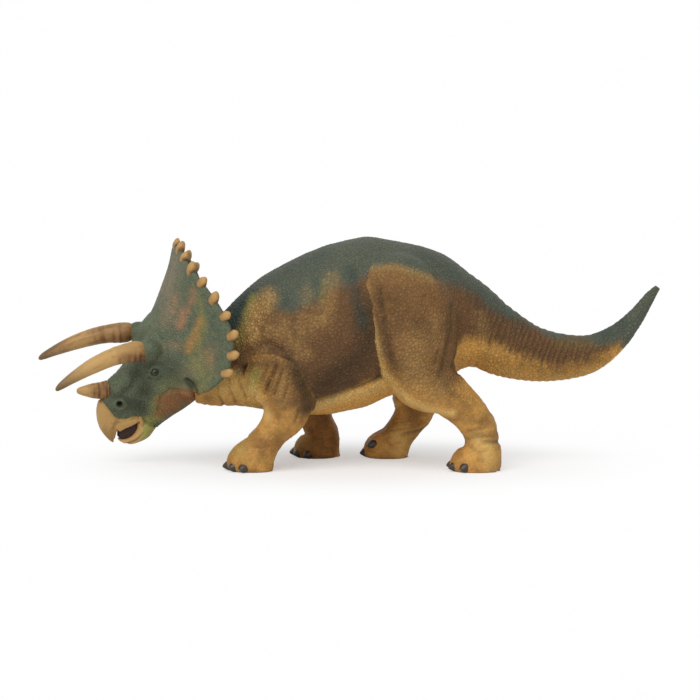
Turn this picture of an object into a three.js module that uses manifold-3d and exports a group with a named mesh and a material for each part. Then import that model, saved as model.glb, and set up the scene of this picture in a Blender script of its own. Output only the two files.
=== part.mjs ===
// Toy horned dinosaur: a hand-painted figure moulded in soft plastic, in millimetres.
// +X runs from the beak to the tail, -Y is the animal's left side and +Z is up.
// The figure comes off its moulds as a trunk, a head, a lower jaw, three horns, a tail
// and four legs. Each one seats on its neighbour with a moulded peg in a socket.
import * as THREE from 'three';
import { mergeVertices } from 'three/addons/utils/BufferGeometryUtils.js';
import Module from 'manifold-3d';

const wasm = await Module();
wasm.setup();

// Fits between the mouldings
const clearance = 0.3;
const overrun = 6;

// Trunk, which carries the neck at its front end and the tail at its back end
const trunkLength = 87.3;
const backHeight = 71.9;
const bellyHeight = 16.1;
const trunkWidth = 48;
const neckPegRadius = 3.6;
const neckPegLength = 8;

// Tail
const tailLength = 59.5;
const tailRootHeight = 30;
const tailRootWidth = 28.5;
const tailDroop = 12;
const tailSway = 4;
const tailPegRadius = 5.5;
const tailPegLength = 9;

// Skull, measured in the head's own frame from the tip of the beak
const skullLength = 37;
const skullHeight = 24;
const skullWidth = 22.5;
const beakWidth = 11.5;
const beakLipWall = 1.2;
const browBossRadius = 4.1;
const browBossLength = 10.6;
const browBossSetBack = 3.3;
const jugalLength = 9;
const jugalWidth = 5.6;
const eyeRadius = 1.5;
const eyelidRadius = 2.6;
const eyelidHeight = 1.6;
const nostrilRadius = 1.1;

// Pose of the head on the neck
const headRise = 4.2;
const headSetBack = 2.5;
const headPitch = 42;
const headYaw = 12.5;
const headRoll = 11;

// Neck frill
const frillHalfWidth = 27;
const frillRise = 36;
const frillSweep = 20.5;
const frillRootThickness = 4;
const frillRimThickness = 2;
const frillDish = 1;
const knobLength = 4.4;
const knobReach = 2.6;
const knobThickness = 3;
const knobTaper = 0.5;
const knobsPerSide = 8;

// Horns
const browHornLength = 36.5;
const browHornRadius = 3.3;
const browHornSpread = 9.3;
const browHornBend = 12.5;
const browHornRaise = 40;
const browHornTurnOut = 10;
const noseHornLength = 9.9;
const noseHornRadius = 3.2;
const noseHornBend = 0.6;
const noseHornRaise = 40;
const hornPegRadius = 1.5;
const hornPegLength = 4;

// Lower jaw
const jawWidth = 10.2;
const jawWall = 1.1;
const mouthFillWidth = 5;
const mouthFillDepth = 7.5;
const jawPegRadius = 1.2;
const jawPegLength = 5;

// Hind legs
const hindLegHeight = 62;
const hindLegDepth = 27;
const hindLegWidth = 24;
const hindStance = 15;
const hipPegRadius = 4;
const hipPegLength = 10;

// Fore legs
const foreLegHeight = 43;
const foreLegDepth = 21.4;
const foreLegWidth = 18;
const foreStance = 15;
const shoulderPegRadius = 3.2;
const shoulderPegLength = 9;

// Both pairs of legs
const pegCover = 2;
const clawLength = 5;
const clawWidth = 3.8;
const clawHeight = 3.8;
const clawRise = 1.7;
const clawRoot = 0.4;
const clawTaper = 0.4;

// Paint
const hideGreen = 0x4f5a4c;
const hideBrown = 0x7d5f3b;
const limbOchre = 0xa87c40;
const hornTan = 0xc69a5c;
const beakTan = 0xb98f5c;
const paintRoughness = 0.62;

// How finely the round forms are cut into facets
const trunkSides = 26;
const trunkSteps = 24;
const tailSteps = 20;
const skullSides = 20;
const skullSteps = 15;
const beakSides = 14;
const beakSteps = 10;
const frillSteps = 26;
const legSides = 16;
const legSteps = 18;
const hornSides = 12;
const hornSteps = 9;
const pegSides = 12;
const lumpSides = 8;
const lumpRings = 5;

// How full the sections are: 1 is an oval, less is squarer
const trunkFullness = 0.92;
const legFullness = 0.9;
const beakFullness = 0.9;
const skullFullness = 0.88;

// Over how many stations the tail's sections come to lean with its centre line
const leanStations = 3;

const across = new THREE.Vector3(0, 1, 0);
const sides = { left: -1, right: 1 };

// Spine from the end of the neck to the tip of the tail. A row of the trunk holds the
// place along it, the height of the centre line, half the depth and half the width.
const trunkShares = [
  [0, 0.217, 0.1, 0.22],
  [0.012, 0.222, 0.156, 0.38],
  [0.087, 0.285, 0.242, 0.54],
  [0.174, 0.358, 0.313, 0.69],
  [0.261, 0.405, 0.38, 0.83],
  [0.412, 0.453, 0.456, 0.96],
  [0.5, 0.48, 0.48, 1],
  [0.608, 0.517, 0.482, 1],
  [0.717, 0.545, 0.439, 0.97],
  [0.826, 0.546, 0.403, 0.9],
  [0.913, 0.548, 0.354, 0.78],
];
const tailRootShare = 0.538;

// A row of the tail holds the place along it, how far it hangs below its root, its
// depth and its width.
const tailShares = [
  [0, 0.012, 0.985, 1],
  [0.168, 0.55, 0.754, 0.66],
  [0.328, 0.907, 0.59, 0.5],
  [0.487, 1.02, 0.494, 0.386],
  [0.647, 0.935, 0.396, 0.297],
  [0.79, 0.51, 0.27, 0.228],
  [0.897, -0.06, 0.174, 0.166],
  [0.97, -0.58, 0.112, 0.11],
  [1.008, -0.8, 0.06, 0.07],
];

// A row of the beak or the skull holds the place behind the beak's front, its top and
// bottom edges as shares of the skull's height, and half its width.
const beakShares = [
  [-0.02, 0.11, 0.02, 0.06],
  [-0.012, 0.21, -0.035, 0.2],
  [0.018, 0.325, -0.01, 0.38],
  [0.075, 0.442, 0.06, 0.56],
  [0.15, 0.525, 0.05, 0.71],
  [0.243, 0.59, 0.03, 0.87],
  [0.338, 0.635, 0, 1],
  [0.42, 0.62, 0.03, 0.9],
];
const skullShares = [
  [0.19, 0.51, -0.25, 0.2],
  [0.227, 0.583, -0.288, 0.41],
  [0.31, 0.65, -0.285, 0.53],
  [0.405, 0.648, -0.275, 0.64],
  [0.514, 0.675, -0.285, 0.755],
  [0.622, 0.77, -0.312, 0.853],
  [0.73, 0.865, -0.325, 0.95],
  [0.838, 0.925, -0.313, 1],
  [0.946, 0.955, -0.27, 0.98],
  [1.054, 0.925, -0.167, 0.89],
  [1.135, 0.833, 0, 0.65],
];
const palateShares = [
  [0.06, 0.12, -0.2, 0.12],
  [0.14, 0.2, -0.2, 0.42],
  [0.24, 0.2, -0.2, 0.62],
  [0.31, 0.14, -0.2, 0.62],
];
const jawShares = [
  [0.033, -0.033, -0.1, 0.12],
  [0.054, -0.08, -0.167, 0.34],
  [0.095, -0.125, -0.225, 0.55],
  [0.157, -0.121, -0.265, 0.74],
  [0.216, -0.067, -0.29, 0.9],
  [0.27, 0.017, -0.298, 1],
  [0.34, 0.05, -0.3, 1],
];
const jawHollowShares = [
  [0.09, 0.1, -0.14, 0.14],
  [0.14, 0.1, -0.2, 0.5],
  [0.2, 0.1, -0.21, 0.68],
  [0.27, 0.1, -0.16, 0.7],
];
// A row of the mouth's filling holds its place, the height of its middle and its girth.
const mouthFillShares = [
  [0.05, -0.055, 0.35],
  [0.09, -0.053, 0.69],
  [0.14, -0.07, 0.96],
  [0.21, -0.073, 1.04],
  [0.3, -0.075, 0.8],
];

// Seam between the lower jaw and the cheeks, as places along the skull and its height
const mouthCornerShares = [0.311, 0.058];
const jawSeamFootShares = [0.243, -0.24];
const jawPegHeightShare = -0.19;
const jawPegPlaceShare = 0.22;

// Places on the skull: along it, up it and out from its middle
const eyeShares = [0.675, 0.47, 0.86];
const nostrilShares = [0.258, 0.38, 0.47];
const browHornShares = [0.705, 0.83];
const jugalShares = [0.78, 0.02, 0.9];
const noseHornShares = [0.26, 0.548];

// The frill's rim from its peak to its lower lobe: back, out and up
const frillRimShares = [
  [0.955, 0, 0.92],
  [0.925, 0.24, 0.9],
  [0.91, 0.44, 0.853],
  [0.912, 0.63, 0.766],
  [0.895, 0.78, 0.628],
  [0.83, 0.91, 0.468],
  [0.7, 0.985, 0.31],
  [0.48, 1, 0.17],
  [0.2, 0.94, 0.052],
  [-0.1, 0.8, -0.02],
  [-0.32, 0.63, -0.04],
];
const frillRootTurn = 125;
const frillRootWidthShare = 0.9;
const frillRootHeightShare = 0.46;
const frillRootRiseShare = 0.42;
const frillRootLeanShare = 0.14;
const knobSpanShare = 0.77;
const bladeShares = [0, 0.25, 0.5, 0.75, 0.93];

// A row of a leg holds its shift behind the joint, its height, its place out from the
// middle of the body, its depth from front to back and its width.
const hipPlaceShare = 0.8;
const hindLegShares = {
  left: [
    [-0.09, 1.06, 0.5, 0.4, 0.3],
    [-0.09, 1.0, 0.8, 0.8, 0.62],
    [-0.09, 0.92, 0.93, 1.08, 0.86],
    [-0.04, 0.781, 0.97, 1.2, 0.96],
    [0.005, 0.616, 1, 1.0, 1],
    [0.066, 0.471, 1.03, 0.81, 0.86],
    [0.192, 0.375, 1.03, 0.5, 0.63],
    [0.294, 0.274, 1, 0.425, 0.5],
    [0.342, 0.179, 1, 0.39, 0.45],
    [0.348, 0.102, 1, 0.46, 0.5],
    [0.319, 0.012, 1, 0.63, 0.6],
    [0.324, -0.05, 1, 0.36, 0.4],
  ],
  right: [
    [-0.09, 1.06, 0.5, 0.4, 0.3],
    [-0.09, 1.0, 0.8, 0.8, 0.62],
    [-0.09, 0.92, 0.93, 1.08, 0.86],
    [-0.05, 0.781, 0.97, 1.2, 0.96],
    [-0.024, 0.616, 1, 1.0, 1],
    [-0.016, 0.471, 1.03, 0.84, 0.86],
    [0.007, 0.335, 1.03, 0.5, 0.63],
    [0.003, 0.232, 1, 0.465, 0.5],
    [-0.032, 0.171, 1, 0.39, 0.45],
    [-0.077, 0.107, 1, 0.38, 0.5],
    [-0.13, 0.02, 1, 0.58, 0.6],
    [-0.132, -0.065, 1, 0.4, 0.42],
  ],
};
const shoulderPlaceShare = 0.318;
const foreLegShares = {
  left: [
    [-0.088, 0.988, 0.83, 0.42, 0.35],
    [-0.058, 0.872, 0.9, 0.84, 0.76],
    [0, 0.702, 0.97, 1, 1],
    [0.058, 0.533, 1, 0.81, 0.89],
    [0.025, 0.391, 1, 0.64, 0.74],
    [-0.068, 0.262, 1, 0.468, 0.66],
    [-0.145, 0.16, 1, 0.53, 0.68],
    [-0.209, 0.04, 1, 0.735, 0.78],
    [-0.211, -0.09, 1, 0.3, 0.4],
  ],
  right: [
    [-0.06, 0.988, 0.83, 0.42, 0.35],
    [-0.02, 0.872, 0.9, 0.84, 0.76],
    [0.05, 0.702, 0.97, 1, 1],
    [0.14, 0.523, 1, 0.81, 0.89],
    [0.223, 0.384, 1, 0.64, 0.74],
    [0.276, 0.251, 1, 0.47, 0.64],
    [0.31, 0.149, 1, 0.5, 0.67],
    [0.274, 0.032, 1, 0.73, 0.78],
    [0.279, -0.06, 1, 0.4, 0.46],
  ],
};
const hindClawTurns = [-44, -12, 22, 56];
const foreClawTurns = [-62, -30, 2, 36, 68];

// A horn's centre line, as shares of its length along its direction at the base and of
// its bend, and the radius there.
const hornShares = [
  [-0.05, 0, 0.7],
  [0, 0, 1],
  [0.25, 0.097, 0.86],
  [0.5, 0.325, 0.75],
  [0.75, 0.63, 0.53],
  [0.93, 0.885, 0.33],
  [1, 1, 0.15],
];

// A closed mesh as a solid. Only shared positions count, so the rest is dropped.
function solid(geometry) {
  const bare = geometry.clone();
  bare.deleteAttribute('normal');
  bare.deleteAttribute('uv');
  const merged = mergeVertices(bare);
  return new wasm.Manifold(new wasm.Mesh({
    numProp: 3,
    vertProperties: new Float32Array(merged.attributes.position.array),
    triVerts: new Uint32Array(merged.index.array),
  }));
}

// A solid as a mesh with its own name and paint.
function piece(name, body, colour) {
  const cut = body.getMesh();
  const geometry = new THREE.BufferGeometry();
  const points = new Float32Array(cut.vertProperties);
  geometry.setAttribute('position', new THREE.BufferAttribute(points, cut.numProp));
  geometry.setIndex(new THREE.BufferAttribute(new Uint32Array(cut.triVerts), 1));
  geometry.computeVertexNormals();
  const paint = new THREE.MeshStandardMaterial({ color: colour, roughness: paintRoughness, metalness: 0 });
  const mesh = new THREE.Mesh(geometry, paint);
  mesh.name = name;
  return mesh;
}

// Rings of equal count joined into one closed skin, with a fan over each end.
function skin(rings) {
  const count = rings[0].length;
  const points = rings.flat();
  const index = [];
  for (let i = 0; i + 1 < rings.length; i += 1) {
    for (let j = 0; j < count; j += 1) {
      const here = i * count + j;
      const next = i * count + (j + 1) % count;
      index.push(here, next, next + count);
      index.push(here, next + count, here + count);
    }
  }
  const ends = [
    { ring: rings[0], start: 0, turned: true },
    { ring: rings.at(-1), start: points.length - count, turned: false },
  ];
  for (const { ring, start, turned } of ends) {
    const middle = new THREE.Vector3();
    ring.forEach((point) => middle.addScaledVector(point, 1 / count));
    points.push(middle);
    for (let j = 0; j < count; j += 1) {
      const here = start + j;
      const next = start + (j + 1) % count;
      index.push(points.length - 1, turned ? next : here, turned ? here : next);
    }
  }
  const geometry = new THREE.BufferGeometry();
  geometry.setFromPoints(points);
  geometry.setIndex(index);
  return geometry;
}

// How far a section leans over to stand square to its centre line: fully, or not at all
// where it stays upright across the X axis.
const square = () => 1;
const upright = () => 0;

// A flesh form swept through stations. Each station has its centre, its reach above
// and below the centre line, and its half width. The section is an oval that turns
// squarer as fullness drops below 1, and grow makes the form larger all round.
function sweep(stations, facets, { fullness = 1, grow = 0, from = 0, to = 1, lean = square } = {}) {
  const centres = stations.map((station) => station.centre);
  const sizes = stations.map((station) => new THREE.Vector3(station.up, station.down, station.side));
  const centreLine = new THREE.CatmullRomCurve3(centres, false, 'centripetal');
  const reach = new THREE.CatmullRomCurve3(sizes, false, 'centripetal');
  const rings = [];
  for (let i = 0; i <= facets.steps; i += 1) {
    const t = from + (to - from) * i / facets.steps;
    const centre = centreLine.getPoint(t);
    const along = centreLine.getTangent(t);
    along.lerp(new THREE.Vector3(1, 0, 0), 1 - lean(t)).normalize();
    const size = reach.getPoint(t);
    const side = across.clone().addScaledVector(along, -along.y).normalize();
    const up = new THREE.Vector3().crossVectors(along, side);
    if (i === 0) centre.addScaledVector(along, -grow);
    if (i === facets.steps) centre.addScaledVector(along, grow);
    const ring = [];
    for (let j = 0; j < facets.sides; j += 1) {
      const angle = 2 * Math.PI * j / facets.sides;
      const sideways = Math.sign(Math.cos(angle)) * Math.abs(Math.cos(angle)) ** fullness;
      const upward = Math.sign(Math.sin(angle)) * Math.abs(Math.sin(angle)) ** fullness;
      const height = upward > 0 ? size.x : size.y;
      const point = centre.clone();
      point.addScaledVector(side, sideways * (size.z + grow));
      point.addScaledVector(up, upward * (height + grow));
      ring.push(point);
    }
    rings.push(ring);
  }
  return skin(rings);
}

// A round peg from one point to another. With grow it is the cutter for its socket.
function peg(start, end, radius, grow = 0) {
  const along = end.clone().sub(start);
  const length = along.length() + grow;
  along.normalize();
  const middle = start.clone().addScaledVector(along, length / 2);
  const turn = new THREE.Quaternion().setFromUnitVectors(across, along);
  return new THREE.CylinderGeometry(radius + grow, radius + grow, length, pegSides)
    .applyQuaternion(turn)
    .translate(middle.x, middle.y, middle.z);
}

// A rounded lump of unit size along Y. Its outer half narrows by the taper, to a blunt point.
function bluntLump(taper) {
  const geometry = new THREE.SphereGeometry(1, lumpSides, lumpRings);
  const points = geometry.attributes.position;
  for (let i = 0; i < points.count; i += 1) {
    const left = 1 - taper * Math.max(points.getY(i), 0);
    points.setXYZ(i, points.getX(i) * left, points.getY(i), points.getZ(i) * left);
  }
  return geometry;
}

// A small lump, such as an eye, a claw or a boss, turned to point outward.
function lump(centre, halfSizes, outward, taper = 0) {
  const turn = new THREE.Quaternion().setFromUnitVectors(across, outward.clone().normalize());
  return bluntLump(taper)
    .scale(halfSizes.x, halfSizes.y, halfSizes.z)
    .applyQuaternion(turn)
    .translate(centre.x, centre.y, centre.z);
}

// Spine: the trunk's stations up to the root of the tail, and the tail's from there on
const trunkDepth = backHeight - bellyHeight;
const trunkStations = trunkShares.map(([along, height, depth, width]) => ({
  centre: new THREE.Vector3(along * trunkLength, 0, bellyHeight + height * trunkDepth),
  up: depth * trunkDepth,
  down: depth * trunkDepth,
  side: width * trunkWidth / 2,
}));
const tailRootZ = bellyHeight + tailRootShare * trunkDepth;
const tailStations = tailShares.map(([along, droop, depth, width]) => ({
  centre: new THREE.Vector3(
    trunkLength + along * tailLength, tailSway * along ** 2, tailRootZ - droop * tailDroop),
  up: depth * tailRootHeight / 2,
  down: depth * tailRootHeight / 2,
  side: width * tailRootWidth / 2,
}));
const spine = [...trunkStations, ...tailStations];
const seamTurn = trunkStations.length / (spine.length - 1);

// Sections of the trunk stand upright. Down the tail they lean over to follow its line.
const spineLean = (t) => THREE.MathUtils.clamp((t - seamTurn) * (spine.length - 1) / leanStations, 0, 1);

function trunkForm(grow = 0) {
  const facets = { sides: trunkSides, steps: trunkSteps };
  return sweep(spine, facets, { fullness: trunkFullness, grow, to: seamTurn, lean: spineLean });
}

function tailPeg(grow = 0) {
  const line = new THREE.CatmullRomCurve3(spine.map((station) => station.centre), false, 'centripetal');
  const seam = line.getPoint(seamTurn);
  const along = line.getTangent(seamTurn);
  const start = seam.clone().addScaledVector(along, tailPegLength);
  const end = seam.clone().addScaledVector(along, -tailPegLength);
  return peg(start, end, tailPegRadius, grow);
}

function tail() {
  const facets = { sides: trunkSides, steps: tailSteps };
  const form = solid(sweep(spine, facets, { fullness: trunkFullness, from: seamTurn, lean: spineLean }));
  return form.subtract(solid(trunkForm(clearance))).add(solid(tailPeg()));
}

// Neck peg, which points down the line of the neck into the skull
const neckEnd = trunkStations[0].centre;
const neckLine = neckEnd.clone().sub(trunkStations[2].centre).normalize();

function neckPeg(grow = 0) {
  const root = neckEnd.clone().addScaledVector(neckLine, -neckPegLength);
  return peg(root, neckEnd.clone().addScaledVector(neckLine, neckPegLength), neckPegRadius, grow);
}

// Legs
function legStations(rows, place, height, depthSize, widthSize, stance, side) {
  return rows.map(([along, up, out, depth, width]) => ({
    centre: new THREE.Vector3(place + along * height, side * out * stance, up * height),
    up: depth * depthSize / 2,
    down: depth * depthSize / 2,
    side: width * widthSize / 2,
  }));
}

const hindLeg = (name) => ({
  stations: legStations(hindLegShares[name], hipPlaceShare * trunkLength,
    hindLegHeight, hindLegDepth, hindLegWidth, hindStance, sides[name]),
  pegRadius: hipPegRadius,
  pegLength: hipPegLength,
  clawTurns: hindClawTurns,
  side: sides[name],
});

const foreLeg = (name) => ({
  stations: legStations(foreLegShares[name], shoulderPlaceShare * trunkLength,
    foreLegHeight, foreLegDepth, foreLegWidth, foreStance, sides[name]),
  pegRadius: shoulderPegRadius,
  pegLength: shoulderPegLength,
  clawTurns: foreClawTurns,
  side: sides[name],
});

function legPeg(leg, grow = 0) {
  const joint = leg.stations.reduce((widest, station) => (station.up > widest.up ? station : widest));
  const start = joint.centre.clone();
  start.y += leg.side * (joint.side - pegCover);
  const end = start.clone();
  end.y -= leg.side * leg.pegLength;
  return peg(start, end, leg.pegRadius, grow);
}

// Claws stand round the front of the sole, and the outer ones turn outward.
function claws(leg) {
  const foot = leg.stations.at(-2);
  return leg.clawTurns.map((degrees) => {
    const turn = THREE.MathUtils.degToRad(degrees);
    const outward = new THREE.Vector3(-Math.cos(turn), leg.side * Math.sin(turn), 0);
    const reach = Math.hypot(foot.down * Math.cos(turn), foot.side * Math.sin(turn)) - clawRoot;
    const centre = new THREE.Vector3(foot.centre.x, foot.centre.y, clawRise).addScaledVector(outward, reach);
    return lump(centre, new THREE.Vector3(clawWidth / 2, clawLength / 2, clawHeight / 2), outward, clawTaper);
  });
}

function leg(parts, trunkCut) {
  let form = solid(sweep(parts.stations, { sides: legSides, steps: legSteps }, { fullness: legFullness }));
  for (const claw of claws(parts)) form = form.add(solid(claw));
  const ground = new THREE.BoxGeometry(2 * trunkLength, 2 * trunkWidth, overrun)
    .translate(trunkLength / 2, 0, -overrun / 2);
  return form.subtract(solid(ground)).subtract(trunkCut).add(solid(legPeg(parts)));
}

// Head frame: x runs back from the crown of the skull, z up from the tip of the beak
const skullPoint = (along, out, up) => new THREE.Vector3(
  (along - 1) * skullLength, out * skullWidth / 2, up * skullHeight);

function profileStations(rows, fullWidth, inset = 0) {
  return rows.map(([along, top, bottom, width]) => ({
    centre: skullPoint(along, 0, (top + bottom) / 2),
    up: (top - bottom) * skullHeight / 2,
    down: (top - bottom) * skullHeight / 2,
    side: width * fullWidth / 2 - inset,
  }));
}

const beakFacets = { sides: beakSides, steps: beakSteps };

function beakForm(grow = 0) {
  const stations = profileStations(beakShares, beakWidth);
  return solid(sweep(stations, beakFacets, { fullness: beakFullness, grow, lean: upright }));
}

// The space in front of the cheeks and under the beak that the lower jaw stands in.
function mouthSpace(gap = 0) {
  const corner = skullPoint(mouthCornerShares[0], 0, mouthCornerShares[1]);
  const foot = skullPoint(jawSeamFootShares[0], 0, jawSeamFootShares[1]);
  const slope = foot.clone().sub(corner);
  const below = corner.clone().addScaledVector(slope, 2);
  const front = -skullLength - overrun;
  const outline = new THREE.Shape([
    new THREE.Vector2(corner.x - gap, corner.z + beakLipWall),
    new THREE.Vector2(below.x - gap, below.z),
    new THREE.Vector2(front, below.z),
    new THREE.Vector2(front, corner.z + beakLipWall),
  ]);
  const geometry = new THREE.ExtrudeGeometry(outline, { depth: skullWidth, bevelEnabled: false });
  return solid(geometry.translate(0, 0, -skullWidth / 2).rotateX(Math.PI / 2));
}

// The frill is one blade whose section runs from its root round the skull to its rim.
function frill() {
  const rimPoint = ([back, out, up], side) => new THREE.Vector3(
    back * frillSweep, side * out * frillHalfWidth, up * frillRise);
  const near = frillRimShares.slice(1).reverse().map((row) => rimPoint(row, sides.left));
  const far = frillRimShares.map((row) => rimPoint(row, sides.right));
  const rim = new THREE.CatmullRomCurve3([...near, ...far], false, 'centripetal');
  const rings = [];
  const edges = [];
  for (let i = 0; i <= frillSteps; i += 1) {
    const t = i / frillSteps;
    const turn = THREE.MathUtils.degToRad((2 * t - 1) * frillRootTurn);
    const edge = rim.getPoint(t);
    const root = new THREE.Vector3(
      -frillRootLeanShare * skullLength * (1 - Math.cos(turn)),
      frillRootWidthShare * skullWidth / 2 * Math.sin(turn),
      (frillRootRiseShare + frillRootHeightShare * Math.cos(turn)) * skullHeight);
    const outward = edge.clone().sub(root).normalize();
    const run = rim.getTangent(t);
    const back = new THREE.Vector3().crossVectors(run, outward).normalize();
    edges.push({ edge, outward, back, run });
    rings.push(bladeSection(root, edge, back));
  }
  return { body: solid(skin(rings)), rim, edges };
}

// Section of the frill: the front face from root to rim, the round rim, and the back.
function bladeSection(root, edge, back) {
  const thicknessAt = (t) => THREE.MathUtils.lerp(frillRootThickness, frillRimThickness, t);
  const middle = (t) => root.clone().lerp(edge, t).addScaledVector(back, frillDish * Math.sin(Math.PI * t));
  const front = bladeShares.map((t) => middle(t).addScaledVector(back, -thicknessAt(t) / 2));
  const rear = bladeShares.map((t) => middle(t).addScaledVector(back, thicknessAt(t) / 2)).reverse();
  return [...front, edge.clone(), ...rear];
}

// Knobs stand along the frill's rim, one at its peak and the rest down both sides.
function knobs(blade) {
  const shapes = [];
  for (let i = -knobsPerSide; i <= knobsPerSide; i += 1) {
    const u = (1 + knobSpanShare * i / knobsPerSide) / 2;
    const t = blade.rim.getUtoTmapping(u);
    const nearest = blade.edges[Math.round(t * frillSteps)];
    const size = new THREE.Vector3(knobThickness / 2, knobReach, knobLength / 2);
    shapes.push(knob(blade.rim.getPoint(t), nearest.outward, blade.rim.getTangent(t), size));
  }
  return shapes;
}

function knob(centre, outward, run, size) {
  const back = new THREE.Vector3().crossVectors(outward, run).normalize();
  const along = new THREE.Vector3().crossVectors(back, outward).normalize();
  const frame = new THREE.Matrix4().makeBasis(back, outward, along).setPosition(centre);
  return bluntLump(knobTaper).scale(size.x, size.y, size.z).applyMatrix4(frame);
}

// Horns
function browHorn(side) {
  const raise = THREE.MathUtils.degToRad(browHornRaise);
  const out = THREE.MathUtils.degToRad(browHornTurnOut);
  const base = skullPoint(browHornShares[0], 0, browHornShares[1]);
  base.y = side * browHornSpread;
  return {
    base,
    along: new THREE.Vector3(
      -Math.cos(raise) * Math.cos(out), side * Math.sin(out), Math.sin(raise)).normalize(),
    bend: new THREE.Vector3(0, 0, -browHornBend),
    length: browHornLength,
    radius: browHornRadius,
  };
}

function noseHorn() {
  const raise = THREE.MathUtils.degToRad(noseHornRaise);
  return {
    base: skullPoint(noseHornShares[0], 0, noseHornShares[1]),
    along: new THREE.Vector3(-Math.cos(raise), 0, Math.sin(raise)),
    bend: new THREE.Vector3(0, 0, noseHornBend),
    length: noseHornLength,
    radius: noseHornRadius,
  };
}

function hornForm(horn, grow = 0) {
  const stations = hornShares.map(([run, bend, radius]) => ({
    centre: horn.base.clone()
      .addScaledVector(horn.along, run * horn.length)
      .addScaledVector(horn.bend, bend),
    up: radius * horn.radius,
    down: radius * horn.radius,
    side: radius * horn.radius,
  }));
  const start = horn.base.clone().addScaledVector(horn.along, hornPegRadius);
  const end = horn.base.clone().addScaledVector(horn.along, -hornPegLength);
  return solid(sweep(stations, { sides: hornSides, steps: hornSteps }, { grow }))
    .add(solid(peg(start, end, hornPegRadius, grow)));
}

// A rounded boss of the brow behind the root of a horn, whose seat is cut into it
function boss(horn) {
  const centre = horn.base.clone().addScaledVector(horn.along, -browBossSetBack);
  const halfSizes = new THREE.Vector3(browBossRadius, browBossLength / 2, browBossRadius);
  return solid(lump(centre, halfSizes, horn.along));
}

const hornList = {
  left_brow_horn: browHorn(sides.left),
  right_brow_horn: browHorn(sides.right),
  nose_horn: noseHorn(),
};

// Lower jaw: the hollow lower half of the beak, with the filling of the mouth moulded in it
function jawPeg(grow = 0) {
  const start = skullPoint(jawPegPlaceShare, 0, jawPegHeightShare);
  const end = start.clone();
  end.x += jawPegLength;
  return solid(peg(start, end, jawPegRadius, grow));
}

function lowerJaw() {
  const mouthFill = mouthFillShares.map(([along, up, girth]) => ({
    centre: skullPoint(along, 0, up),
    up: girth * mouthFillDepth / 2,
    down: girth * mouthFillDepth / 2,
    side: girth * mouthFillWidth / 2,
  }));
  const hollow = profileStations(jawHollowShares, jawWidth, jawWall);
  const outer = profileStations(jawShares, jawWidth);
  return solid(sweep(outer, beakFacets, { fullness: beakFullness, lean: upright }))
    .subtract(solid(sweep(hollow, beakFacets, { lean: upright })))
    .add(solid(sweep(mouthFill, { sides: hornSides, steps: hornSteps })))
    .intersect(mouthSpace(clearance))
    .subtract(beakForm(clearance))
    .add(jawPeg());
}

function head(neckCut) {
  const blade = frill();
  const palate = solid(sweep(profileStations(palateShares, beakWidth), beakFacets, { lean: upright }));
  let body = solid(sweep(profileStations(skullShares, skullWidth),
    { sides: skullSides, steps: skullSteps }, { fullness: skullFullness, lean: upright }));
  body = body.subtract(mouthSpace()).add(beakForm().subtract(palate)).add(blade.body);
  for (const shape of knobs(blade)) body = body.add(solid(shape));
  for (const side of Object.values(sides)) {
    const outward = new THREE.Vector3(0, side, 0);
    const eye = skullPoint(eyeShares[0], side * eyeShares[2], eyeShares[1]);
    const nostril = skullPoint(nostrilShares[0], side * nostrilShares[2], nostrilShares[1]);
    const jugal = skullPoint(jugalShares[0], side * jugalShares[2], jugalShares[1]);
    const jugalDown = new THREE.Vector3(jugalWidth, side * jugalLength, -jugalWidth);
    body = body
      .add(solid(lump(eye, new THREE.Vector3(eyelidRadius, eyelidHeight / 2, eyelidRadius), outward)))
      .add(solid(lump(eye, new THREE.Vector3(eyeRadius, eyeRadius, eyeRadius), outward)))
      .add(solid(lump(jugal, new THREE.Vector3(jugalWidth / 2, jugalLength / 2, jugalWidth / 2), jugalDown)))
      .subtract(solid(lump(nostril, new THREE.Vector3(nostrilRadius, nostrilRadius, nostrilRadius), outward)));
  }
  body = body.add(boss(hornList.left_brow_horn)).add(boss(hornList.right_brow_horn));
  for (const horn of Object.values(hornList)) body = body.subtract(hornForm(horn, clearance));
  return body.subtract(jawPeg(clearance)).subtract(neckCut);
}

// The head's group carries its pose, so the head's pieces are drawn level in their own frame.
const headGroup = new THREE.Group();
headGroup.position.set(neckEnd.x + headSetBack, 0, neckEnd.z + headRise);
headGroup.rotation.set(
  THREE.MathUtils.degToRad(headRoll),
  -THREE.MathUtils.degToRad(headPitch),
  THREE.MathUtils.degToRad(headYaw),
  'ZXY',
);
headGroup.updateMatrix();
const toHead = headGroup.matrix.clone().invert();
const neckCut = solid(trunkForm(clearance).applyMatrix4(toHead))
  .add(solid(neckPeg(clearance).applyMatrix4(toHead)));
headGroup.add(piece('head', head(neckCut), hideGreen));
headGroup.add(piece('lower_jaw', lowerJaw(), beakTan));
for (const [name, horn] of Object.entries(hornList)) {
  headGroup.add(piece(name, hornForm(horn), hornTan));
}

const trunkCut = solid(trunkForm(clearance));
const figure = new THREE.Group();
figure.add(headGroup);
let trunk = solid(trunkForm()).subtract(solid(tailPeg(clearance))).add(solid(neckPeg()));
const legList = {
  left_hind_leg: hindLeg('left'),
  right_hind_leg: hindLeg('right'),
  left_fore_leg: foreLeg('left'),
  right_fore_leg: foreLeg('right'),
};
for (const [name, parts] of Object.entries(legList)) {
  trunk = trunk.subtract(solid(legPeg(parts, clearance)));
  figure.add(piece(name, leg(parts, trunkCut), limbOchre));
}
figure.add(piece('torso', trunk, hideBrown));
figure.add(piece('tail', tail(), hideGreen));

// The origin is under the middle of the figure, on the ground that it stands on.
figure.updateMatrixWorld(true);
const box = new THREE.Box3().setFromObject(figure, true);
const centre = box.getCenter(new THREE.Vector3());
figure.position.set(-centre.x, -centre.y, -box.min.z);

export default figure;
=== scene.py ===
import math

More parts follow.
